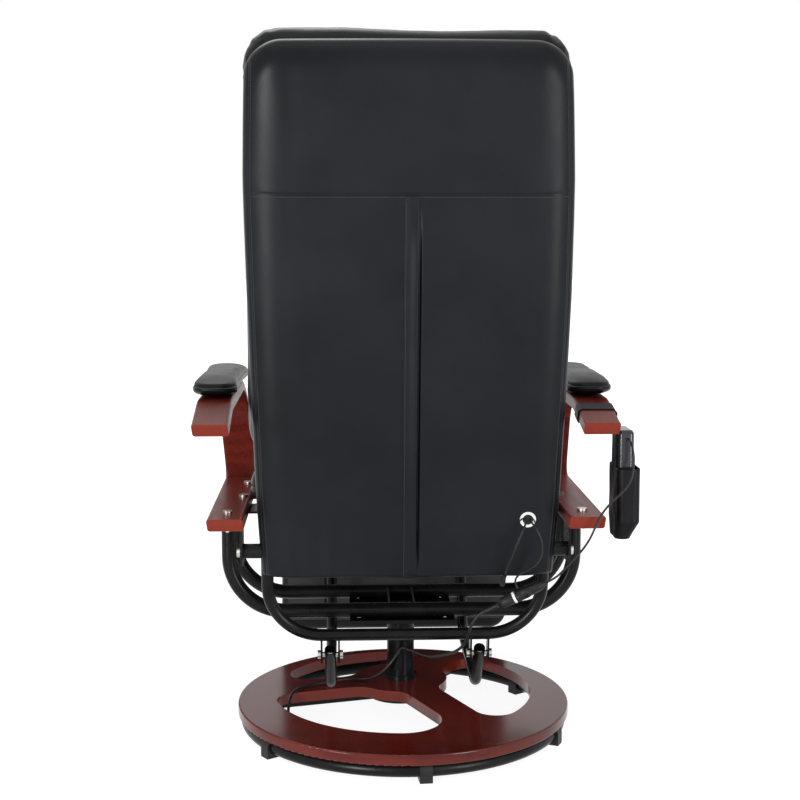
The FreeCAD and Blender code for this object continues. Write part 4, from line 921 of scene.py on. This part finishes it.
def finishPad(piece, body, fill, node):
    subdivide(piece)
    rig.ride(piece, body)
    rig.replaces(piece, node)
    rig.slot(piece, "cushion")
    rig.padded(piece, fill=fill)


def upholster(piece, low, high, depth, body, fill, node):
    # the filled pillow gets its size back, then its seams
    setCoordinates(piece, fitted(coordinates(piece), low, high))
    refined(piece)
    pressed(piece, depth)
    finishPad(piece, body, fill, node)


backCushion = {
    "halfWidth": 0.2520, "foot": 0.134, "top": 0.8155, "rear": -0.0135, "front": -0.1110, "edge": 0.036,
    "corner": 0.056, "crown": 0.012, "cells": 60, "voxel": 0.006, "shrink": 0.003, "cap": 0.010, "fill": 0.75,
    "channels": (0.285, 0.400, 0.515, 0.615), "channelDepth": 0.011, "channelWidth": 0.009, "bolster": 0.162,
    "bolsterTop": 0.70, "bolsterFull": 0.62, "pullDepth": 0.0016, "frontGap": 0.045,
    "crinkle": 0.0024, "crinkleSide": 0.185, "crinkleTop": 0.72, "crinkleFade": 0.035,
    "waist": ((0.13, 0.985), (0.25, 1.018), (0.42, 1.014), (0.60, 0.998), (0.70, 0.990), (0.82, 0.990)),
    "topWave": ((-0.25, 0.0), (-0.20, -0.001), (-0.05, -0.0015), (0.10, 0.003), (0.16, 0.0015), (0.25, 0.0)),
}


def frontCushion():
    look = backCushion
    middle = 0.5 * (look["foot"] + look["top"])
    thick = look["rear"] - look["front"]

    def place(x, y, z):
        return backPoint(x, look["rear"] - 0.5 * thick - z, middle + y)

    def depth(x, y, z):
        _, across, up = backLocal(np.array([[x, y, z]]))[0]
        bunched = smoothStep((abs(x) - look["crinkleSide"]) / look["crinkleFade"])
        bunched *= smoothStep((up - look["crinkleTop"]) / look["crinkleFade"])
        crinkle = look["crinkle"] * bunched * noise.noise(Vector((x * 85.0, up * 85.0, across * 30.0)))
        front = smoothStep((look["rear"] - look["frontGap"] - across) / 0.03)
        if front == 0.0:
            return crinkle
        inner = smoothStep((look["bolster"] - abs(x)) / 0.01)
        sunk = max(groove(up - channel, look["channelWidth"]) * inner for channel in look["channels"])
        roll = groove(abs(x) - look["bolster"], look["channelWidth"])
        roll *= smoothStep((look["bolsterTop"] - up) / 0.03) * (1.0 if up < look["bolsterFull"] else 0.8)
        pulls = look["pullDepth"] * noise.noise(Vector((x * 22.0, up * 9.0, 2.0)))
        return (look["channelDepth"] * max(sunk, roll) + pulls) * front + crinkle

    piece = pillow("back_pad", look, 0.5 * (look["top"] - look["foot"]), thick, place)
    refined(piece)
    low = (-look["halfWidth"], look["front"] - look["crown"], look["foot"])
    high = (look["halfWidth"], look["rear"], look["top"])
    local = fitted(backLocal(coordinates(piece)), low, high)
    heights, widths = zip(*look["waist"])
    places, rises = zip(*look["topWave"])
    local[:, 0] *= np.interp(local[:, 2], heights, widths)
    upper = np.array([smoothStep((z - cover["shoulder"]) / 0.08) for z in local[:, 2]])
    local[:, 2] += upper * np.interp(local[:, 0], places, rises)
    setCoordinates(piece, backWorld(local))
    pressed(piece, depth)
    finishPad(piece, "back", look["fill"], "back_cushion")


seatCushion = {
    # it bulges more on the side that has no lever
    "halfWidth": 0.2465, "freeSide": 0.2530,
    "front": -0.2545, "rear": 0.1805, "foot": 0.3845, "height": 0.070, "edge": 0.032, "corner": 0.044,
    "crown": 0.012, "cells": 52, "voxel": 0.006, "shrink": 0.003, "cap": 0.008, "fill": 0.8,
    "channels": (-0.125, -0.015, 0.085), "channelDepth": 0.010, "channelWidth": 0.009, "bolster": 0.170,
    "upperFrom": 0.045, "sideSeam": 0.0022,
}


def lyingPad(name, look, depth, node, centre=0.0):
    middle = 0.5 * (look["front"] + look["rear"])

    def place(x, y, z):
        return centre + x, middle + y, look["foot"] + 0.5 * look["height"] + z

    piece = pillow(name, look, 0.5 * (look["rear"] - look["front"]), look["height"], place)
    low = (centre - look["halfWidth"], look["front"], look["foot"])
    high = (centre + look["freeSide"], look["rear"], look["foot"] + look["height"] + look["crown"])
    upholster(piece, low, high, depth, "seat", look["fill"], node)


def seatPad():
    look = seatCushion

    def depth(x, y, z):
        upper = smoothStep((z - look["foot"] - look["upperFrom"]) / 0.02)
        inner = smoothStep((look["bolster"] - abs(x)) / 0.01)
        sunk = max(groove(y - channel, look["channelWidth"]) * inner for channel in look["channels"])
        sunk = max(sunk, groove(abs(x) - look["bolster"], look["channelWidth"]))
        side = groove(z - look["foot"] - 0.5 * look["height"], look["sideSeam"]) * look["sideSeam"]
        return look["channelDepth"] * sunk * upper + side * (1.0 - upper)

    lyingPad("seat_pad", look, depth, "seat_cushion")


footCushion = {
    "halfWidth": 0.2235, "foot": 0.0460, "top": 0.3325, "rear": -0.2925, "front": -0.3440, "edge": 0.024,
    "corner": 0.036, "crown": 0.010, "cells": 44, "voxel": 0.006, "shrink": 0.003, "cap": 0.005, "fill": 0.8,
    "channels": (0.135, 0.198, 0.262), "channelDepth": 0.007, "channelWidth": 0.008, "channelHalf": 0.205,
    "frontGap": 0.028,
}


def footPad():
    look = footCushion
    middle = 0.5 * (look["foot"] + look["top"])
    thick = look["rear"] - look["front"]

    def place(x, y, z):
        return x, look["rear"] - 0.5 * thick - z, middle + y

    def depth(x, y, z):
        front = smoothStep((look["rear"] - look["frontGap"] - y) / 0.012)
        sunk = max(groove(z - channel, look["channelWidth"]) for channel in look["channels"])
        return look["channelDepth"] * sunk * front * smoothStep((look["channelHalf"] - abs(x)) / 0.02)

    piece = pillow("footrest_cushion", look, 0.5 * (look["top"] - look["foot"]), thick, place)
    low = (-look["halfWidth"], look["front"] - look["crown"], look["foot"])
    high = (look["halfWidth"], look["rear"], look["top"])
    upholster(piece, low, high, depth, "footrest", look["fill"], "footrest_pad")


armPad = {
    "centre": 0.312, "halfWidth": 0.0375, "freeSide": 0.0375, "front": -0.2040, "rear": 0.1272,
    "foot": 0.5618, "height": 0.0300, "edge": 0.016, "corner": 0.030, "crown": 0.0045, "cells": 40,
    "voxel": 0.004, "shrink": 0.0015, "cap": 0.004, "fill": 0.85,
    "pipe": 0.0014, "creaseHeight": 0.0205, "creaseWidth": 0.0019, "creaseDepth": 0.0042,
    "rollReach": 0.030, "rollFade": 0.020, "dent": 0.0007,
}


def armPads():
    look = armPad
    for side, label in ((1.0, "left"), (-1.0, "right")):

        def depth(x, y, z):
            # a boxing seam all round, and a deeper crease over the rear roll
            behind = smoothStep((y - look["rear"] + look["rollReach"]) / look["rollFade"])
            seam = groove(z - look["foot"] - look["creaseHeight"], look["creaseWidth"])
            seam *= look["pipe"] + (look["creaseDepth"] - look["pipe"]) * behind
            return seam + look["dent"] * noise.noise(Vector((x * 40.0, y * 30.0, z * 40.0 + side)))

        lyingPad("arm_cushion_" + label, look, depth, "arm_pad_" + label, side * look["centre"])


lining = {"foot": -0.034, "depth": -0.0085, "inset": 0.008, "ripple": 0.0007, "thickness": 0.0016}


def backLining():
    # plain cloth closing the open front of the back below the cushion
    look = lining
    points = []
    across = np.linspace(-1.0, 1.0, 48)
    up = np.linspace(0.0, 1.0, 90)
    for share in up:
        for u in across:
            z = look["foot"] + (coverTop(u) - look["inset"] - look["foot"]) * share
            y = look["depth"] + look["ripple"] * noise.noise(Vector((u * 5.0, z * 12.0, 4.0)))
            points.append(backPoint(coverSide(u * (1.0 - look["inset"] / coverHalf(z)), z), y, z))
    piece = makePiece("lining_cloth", points, gridFaces(len(up), len(across)), blackLeather)
    thicken(piece, look["thickness"])
    fitOut(piece, "back", "upholstery", "back_lining")


# node, piece, voxel, rounds of smoothing and depth of the dents
pouchLooks = (
    ("controller_pouch", "pouch_leather", 0.0011, 6, 0.0009),
    ("pouch_strap", "pouch_band", 0.0009, 4, 0.0),
)


def pouchPieces():
    for node, name, voxel, rounds, dent in pouchLooks:
        piece = copyNode(node, name, pouchLeather, voxel)
        relax(piece, rounds)
        if dent:
            pressed(piece, lambda x, y, z: dent * noise.noise(Vector((x * 40.0, y * 45.0, z * 22.0))))
        fitOut(piece, "seat", "upholstery", node)


# cords

def routeLine(name, points):
    curve = bpy.data.curves.new(name, "CURVE")
    curve.dimensions = "3D"
    spline = curve.splines.new("NURBS")
    spline.points.add(len(points) - 1)
    for place, point in zip(spline.points, points):
        place.co = (point[0], point[1], point[2], 1.0)
    spline.order_u = 3
    spline.use_endpoint_u = True
    spline.resolution_u = 10
    holder = bpy.data.objects.new(name, curve)
    bpy.context.scene.collection.objects.link(holder)
    bpy.context.view_layer.update()
    mesh = bpy.data.meshes.new_from_object(holder)
    line = [vertex.co.copy() for vertex in mesh.vertices]
    bpy.data.objects.remove(holder)
    return line


def closedBody(name, points, sides, material):
    # rings of points joined one to the next, with a flat face at both ends
    faces = gridFaces(len(points) // sides, sides, closed=True)
    faces.append(tuple(range(sides)))
    faces.append(tuple(len(points) - sides + corner for corner in range(sides)))
    return makePiece(name, points, faces, material)


def tube(name, line, radius, material, sides=14, width=None):
    kept = [line[0]]
    for point in line[1:]:
        if (point - kept[-1]).length > radius * 0.25:
            kept.append(point)
    points = []
    normal = None
    for index, point in enumerate(kept):
        way = (kept[min(index + 1, len(kept) - 1)] - kept[max(index - 1, 0)]).normalized()
        if normal is None:
            normal = way.orthogonal().normalized()
        normal = (normal - way * normal.dot(way)).normalized()
        across = way.cross(normal)
        size = width(index / (len(kept) - 1.0)) if width else radius
        for corner in range(sides):
            turn = 2.0 * math.pi * corner / sides
            points.append(point + size * (math.cos(turn) * normal + math.sin(turn) * across))
    return closedBody(name, points, sides, material), kept


noRibs = (0, 0.0, 0.0, 0.0)


def turned(name, start, end, profile, material, sides, ribs):
    # profile holds (distance from start, radius) pairs; ribs holds count, depth, from and to
    way = (Vector(end) - Vector(start)).normalized()
    first = way.orthogonal().normalized()
    second = way.cross(first)
    points = []
    for along, radius in profile:
        for corner in range(sides):
            turn = 2.0 * math.pi * corner / sides
            size = radius
            if ribs[2] <= along <= ribs[3]:
                size -= ribs[1] * (0.5 - 0.5 * math.cos(ribs[0] * turn)) ** 2
            points.append(Vector(start) + way * along
                          + size * (math.cos(turn) * first + math.sin(turn) * second))
    return closedBody(name, points, sides, material)


def lineLength(line):
    return sum((second - first).length for first, second in zip(line, line[1:]))


longWire = (
    (-0.197, 0.2469, 0.380), (-0.197, 0.257, 0.378), (-0.204, 0.267, 0.371), (-0.212, 0.272, 0.354),
    (-0.214, 0.269, 0.330), (-0.206, 0.260, 0.310), (-0.193, 0.250, 0.298), (-0.179, 0.242, 0.290),
    (-0.1726, 0.2381, 0.2775), (-0.1788, 0.2381, 0.2652),
)
shortWire = (
    (-0.189, 0.2469, 0.380), (-0.189, 0.257, 0.378), (-0.183, 0.267, 0.368), (-0.174, 0.269, 0.348),
    (-0.166, 0.262, 0.324), (-0.160, 0.252, 0.305), (-0.157, 0.246, 0.290),
)
leadUpper = (
    (-0.359, 0.2083, 0.503), (-0.359, 0.222, 0.503), (-0.361, 0.232, 0.496), (-0.363, 0.238, 0.478),
    (-0.362, 0.241, 0.457), (-0.356, 0.246, 0.438), (-0.342, 0.254, 0.424), (-0.3335, 0.258, 0.418),
)
leadLower = (
    (-0.3335, 0.258, 0.418), (-0.325, 0.262, 0.412), (-0.309, 0.270, 0.397), (-0.298, 0.275, 0.378),
    (-0.289, 0.275, 0.356), (-0.277, 0.270, 0.335), (-0.262, 0.262, 0.316), (-0.250, 0.2515, 0.298),
    (-0.2379, 0.2444, 0.2837), (-0.2249, 0.2429, 0.2771),
)
powerUpper = (
    (-0.148, 0.234, 0.238), (-0.1348, 0.2324, 0.2311), (-0.119, 0.231, 0.224), (-0.107, 0.228, 0.208),
    (-0.101, 0.224, 0.188), (-0.096, 0.214, 0.168), (-0.084, 0.200, 0.152), (-0.068, 0.178, 0.140),
    (-0.052, 0.150, 0.128), (-0.040, 0.120, 0.119), (-0.028, 0.088, 0.115), (-0.014, 0.060, 0.113),
    (-0.002, 0.038, 0.111), (0.0, 0.035, 0.1075),
)
# over the floor only the place changes
floorRun = (
    (0.2112, 0.1809), (0.2258, 0.1809), (0.2375, 0.1723), (0.242, 0.1585), (0.242, 0.138), (0.236, 0.100),
    (0.222, 0.050), (0.204, 0.004), (0.184, -0.044), (0.158, -0.090), (0.128, -0.130), (0.098, -0.164),
    (0.074, -0.194), (0.062, -0.218), (0.060, -0.236), (0.060, -0.248),
)
powerLower = (
    (0.0, 0.035, 0.1075), (0.002, 0.032, 0.104), (0.010, 0.036, 0.094), (0.022, 0.037, 0.078),
    (0.036, 0.033, 0.062), (0.054, 0.026, 0.0515), (0.078, 0.018, 0.0495), (0.104, 0.022, 0.0495),
    (0.128, 0.034, 0.0495), (0.153, 0.046, 0.0495), (0.174, 0.062, 0.0495), (0.187, 0.084, 0.0495),
    (0.193, 0.106, 0.0465), (0.195, 0.126, 0.0365), (0.195, 0.143, 0.022), (0.195, 0.1585, 0.0095),
    (0.1995, 0.1723, 0.0040),
) + tuple((x, y, 0.0026) for x, y in floorRun)

coil = {
    "centre": (0.026, -0.253, 0.0026), "radius": 0.034, "pitch": 0.0066, "layerTurns": 2, "layerRise": 0.0057,
    "turns": 4.5, "perTurn": 16, "tail": 0.030, "wireRadius": 0.0016, "leadRadius": 0.0018,
    "powerRadius": 0.0025,
}


def coilPlace(angle):
    layer = coil["layerTurns"] * 2.0 * math.pi
    climb = min(max((angle - layer) / math.pi, 0.0), 1.0)
    wound = min(angle, layer) - max(angle - layer - math.pi, 0.0)
    radius = coil["radius"] - coil["pitch"] * wound / (2.0 * math.pi)
    rise = coil["layerRise"] * smoothStep(climb)
    middle = coil["centre"]
    return middle[0] + radius * math.cos(angle), middle[1] - radius * math.sin(angle), middle[2] + rise


def stretch(path, length):
    kept = [path[0]]
    for point in path[1:]:
        kept.append(point)
        if lineLength(kept) >= length:
            break
    return kept


connector = {
    "start": (-0.1488, 0.2341, 0.2384), "end": (-0.2249, 0.2429, 0.2771),
    "plugHalf": ((0.0, 0.0034), (0.003, 0.0040), (0.0042, 0.0058), (0.0050, 0.0080), (0.0075, 0.0092),
                 (0.012, 0.0096), (0.0252, 0.0096), (0.0262, 0.0092), (0.0264, 0.0080)),
    "ring": ((0.0262, 0.0082), (0.0264, 0.0093), (0.0270, 0.0096), (0.0300, 0.0096), (0.0306, 0.0093),
             (0.0308, 0.0082)),
    "socketHalf": ((0.0306, 0.0080), (0.0308, 0.0093), (0.0320, 0.0098), (0.0330, 0.0098), (0.0335, 0.0096),
                   (0.0500, 0.0096), (0.0505, 0.0098), (0.0515, 0.0098), (0.0530, 0.0090), (0.0620, 0.0087),
                   (0.0700, 0.0082), (0.0760, 0.0070), (0.0800, 0.0050), (0.0852, 0.0042)),
    "ribs": (20, 0.0011, 0.0335, 0.0500), "sleeveLength": 0.026, "sleeveWide": 0.0044, "sleeveSlim": 0.0029,
    "sleeveRib": 0.00035, "sleeveRibs": 6.0,
}


def sleeveWidth(share):
    look = connector
    size = look["sleeveWide"] + (look["sleeveSlim"] - look["sleeveWide"]) * share
    return size - look["sleeveRib"] * (0.5 - 0.5 * math.cos(2.0 * math.pi * look["sleeveRibs"] * share))


def connectorPieces():
    look = connector
    for name, finish, ribs in (("plugHalf", mattPlastic, noRibs), ("socketHalf", mattPlastic, look["ribs"]),
                               ("ring", whitePlastic, noRibs)):
        piece = turned("connector_" + name, look["start"], look["end"], look[name], finish, 60, ribs)
        fitOut(piece, "back", "black_plastic", "inline_connector")


def cordTube(name, route, radius):
    return tube(name, routeLine(name, route), radius, cordRubber)


def leadSleeve(name, path):
    run = stretch(path, connector["sleeveLength"])
    sleeve, _ = tube(name, run, coil["powerRadius"], mattPlastic, 20, sleeveWidth)
    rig.slot(sleeve, "black_plastic")
    return sleeve


def cordPieces():
    longer, longerPath = cordTube("grommet_wire_long", longWire, coil["wireRadius"])
    shorter, shorterPath = cordTube("grommet_wire_short", shortWire, coil["wireRadius"])
    for wire in (longer, shorter):
        fitOut(wire, "back", "cord", "grommet_wires")
    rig.cord(longer, exit=longWire[0], length=0.150, diameter=0.0032, far_end="object", stiffness="limp",
            lay="hanging", path=longerPath)
    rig.cord(shorter, exit=shortWire[0], length=0.108, diameter=0.0032, far_end="connector", stiffness="limp",
            lay="hanging", path=shorterPath, with_pieces=["two_pin_connector"])

    upper, upperPath = cordTube("controller_lead_upper", leadUpper, coil["leadRadius"])
    lower, lowerPath = cordTube("controller_lead_lower", leadLower, coil["leadRadius"])
    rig.blend(upper, "controller", "seat", (-0.359, 0.2083, 0.503), (-0.359, 0.2083, 0.424))
    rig.blend(lower, "seat", "back", (-0.298, 0.275, 0.378), leadLower[-1])
    for lead in (upper, lower):
        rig.replaces(lead, "controller_lead")
        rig.slot(lead, "cord")
    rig.cord(lower, exit=leadLower[-1], length=0.189, diameter=0.0036, far_end="object",
            stiffness="limp", lay="hanging", path=list(reversed(lowerPath)))
    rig.cord(upper, exit=leadUpper[0], length=0.118, diameter=0.0036, far_end="object",
            stiffness="limp", lay="hanging", path=upperPath)

    steps = range(int(coil["turns"] * coil["perTurn"]) + 1)
    wound = [coilPlace(2.0 * math.pi * step / coil["perTurn"]) for step in steps]
    x, y, z = wound[-1]
    wound += [(x, y + 0.5 * coil["tail"], z), (x, y + coil["tail"], z)]
    first, firstPath = cordTube("power_lead_upper", powerUpper, coil["powerRadius"])
    second, secondPath = cordTube("power_lead_lower", powerLower + tuple(wound), coil["powerRadius"])
    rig.blend(first, "back", "seat", powerUpper[0], (-0.096, 0.214, 0.168))
    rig.blend(second, "seat", "base", (0.0, 0.0, 0.1075), (0.0, 0.0, 0.0515))
    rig.replaces(first, "power_lead_seat")
    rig.replaces(second, "power_lead_base", "power_lead_coil")
    for lead in (first, second):
        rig.slot(lead, "cord")
    top = leadSleeve("lead_sleeve_connector", firstPath)
    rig.blend(top, "back", "seat", powerUpper[0], (-0.096, 0.214, 0.168))
    tail = leadSleeve("lead_sleeve_plug", list(reversed(secondPath)))
    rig.ride(tail, "base")
    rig.cord(first, exit=powerUpper[0], length=0.313, diameter=0.005, far_end="object", lay="hanging",
            path=firstPath, with_pieces=[top, "connector_plugHalf", "connector_ring", "connector_socketHalf"])
    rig.cord(second, exit=powerLower[0], length=1.627, diameter=0.005, far_end="plug", lay="coiled",
            path=secondPath, with_pieces=[tail, "power_plug"])
    paths = (longerPath, shorterPath, lowerPath, upperPath, firstPath, secondPath)
    print("cord lengths", [round(lineLength(path), 4) for path in paths])


nodeFinish = {
    "base_disc": shadedDiscWood, "arm_left": armWood, "arm_right": armWood, "seat_board": plywood,
    "footrest_board": plywood, "grommet_ring": chromeSteel, "hand_controller": glossPlastic,
}
steelNodes = (
    "base_ring", "base_cross", "column", "swivel_plate", "swivel_channel", "cross_tube_rear",
    "cross_tube_front", "seat_frame", "rail_plates", "recline_brackets", "footrest_brackets", "back_frame",
    "back_crossbars", "back_pivots", "push_clevises", "push_tubes", "footrest_bars", "recline_lever",
)
zincNodes = (
    "base_screws", "seat_bolts", "pivot_bolts", "footrest_pins", "clevis_bolts", "swivel_spindle",
)
plasticNodes = (
    "base_glides", "swivel_bushes", "lever_grip", "grommet_plug", "two_pin_connector", "power_plug",
)
keyNodes = (
    "button_massage", "button_heat", "button_level", "button_power",
)


def finishNodes():
    for group, finish in ((steelNodes, blackSteel), (zincNodes, zincSteel), (plasticNodes, mattPlastic),
                          (keyNodes, keyRubber)):
        nodeFinish.update((node, finish) for node in group)
    for node, finish in nodeFinish.items():
        mesh = nodes[node].data
        mesh.materials.clear()
        mesh.materials.append(finish)


connectorPieces()
cordPieces()
print("cords laid")
frontCushion()
seatPad()
footPad()
armPads()
backLining()
print("cushions made")
pouchPieces()
finishNodes()
print("nodes finished")

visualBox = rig.bounds()
with open("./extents.json", "w") as sizeFile:
    json.dump({"cad": [list(corner) for corner in cadBox],
               "visual": [list(corner) for corner in visualBox]}, sizeFile)
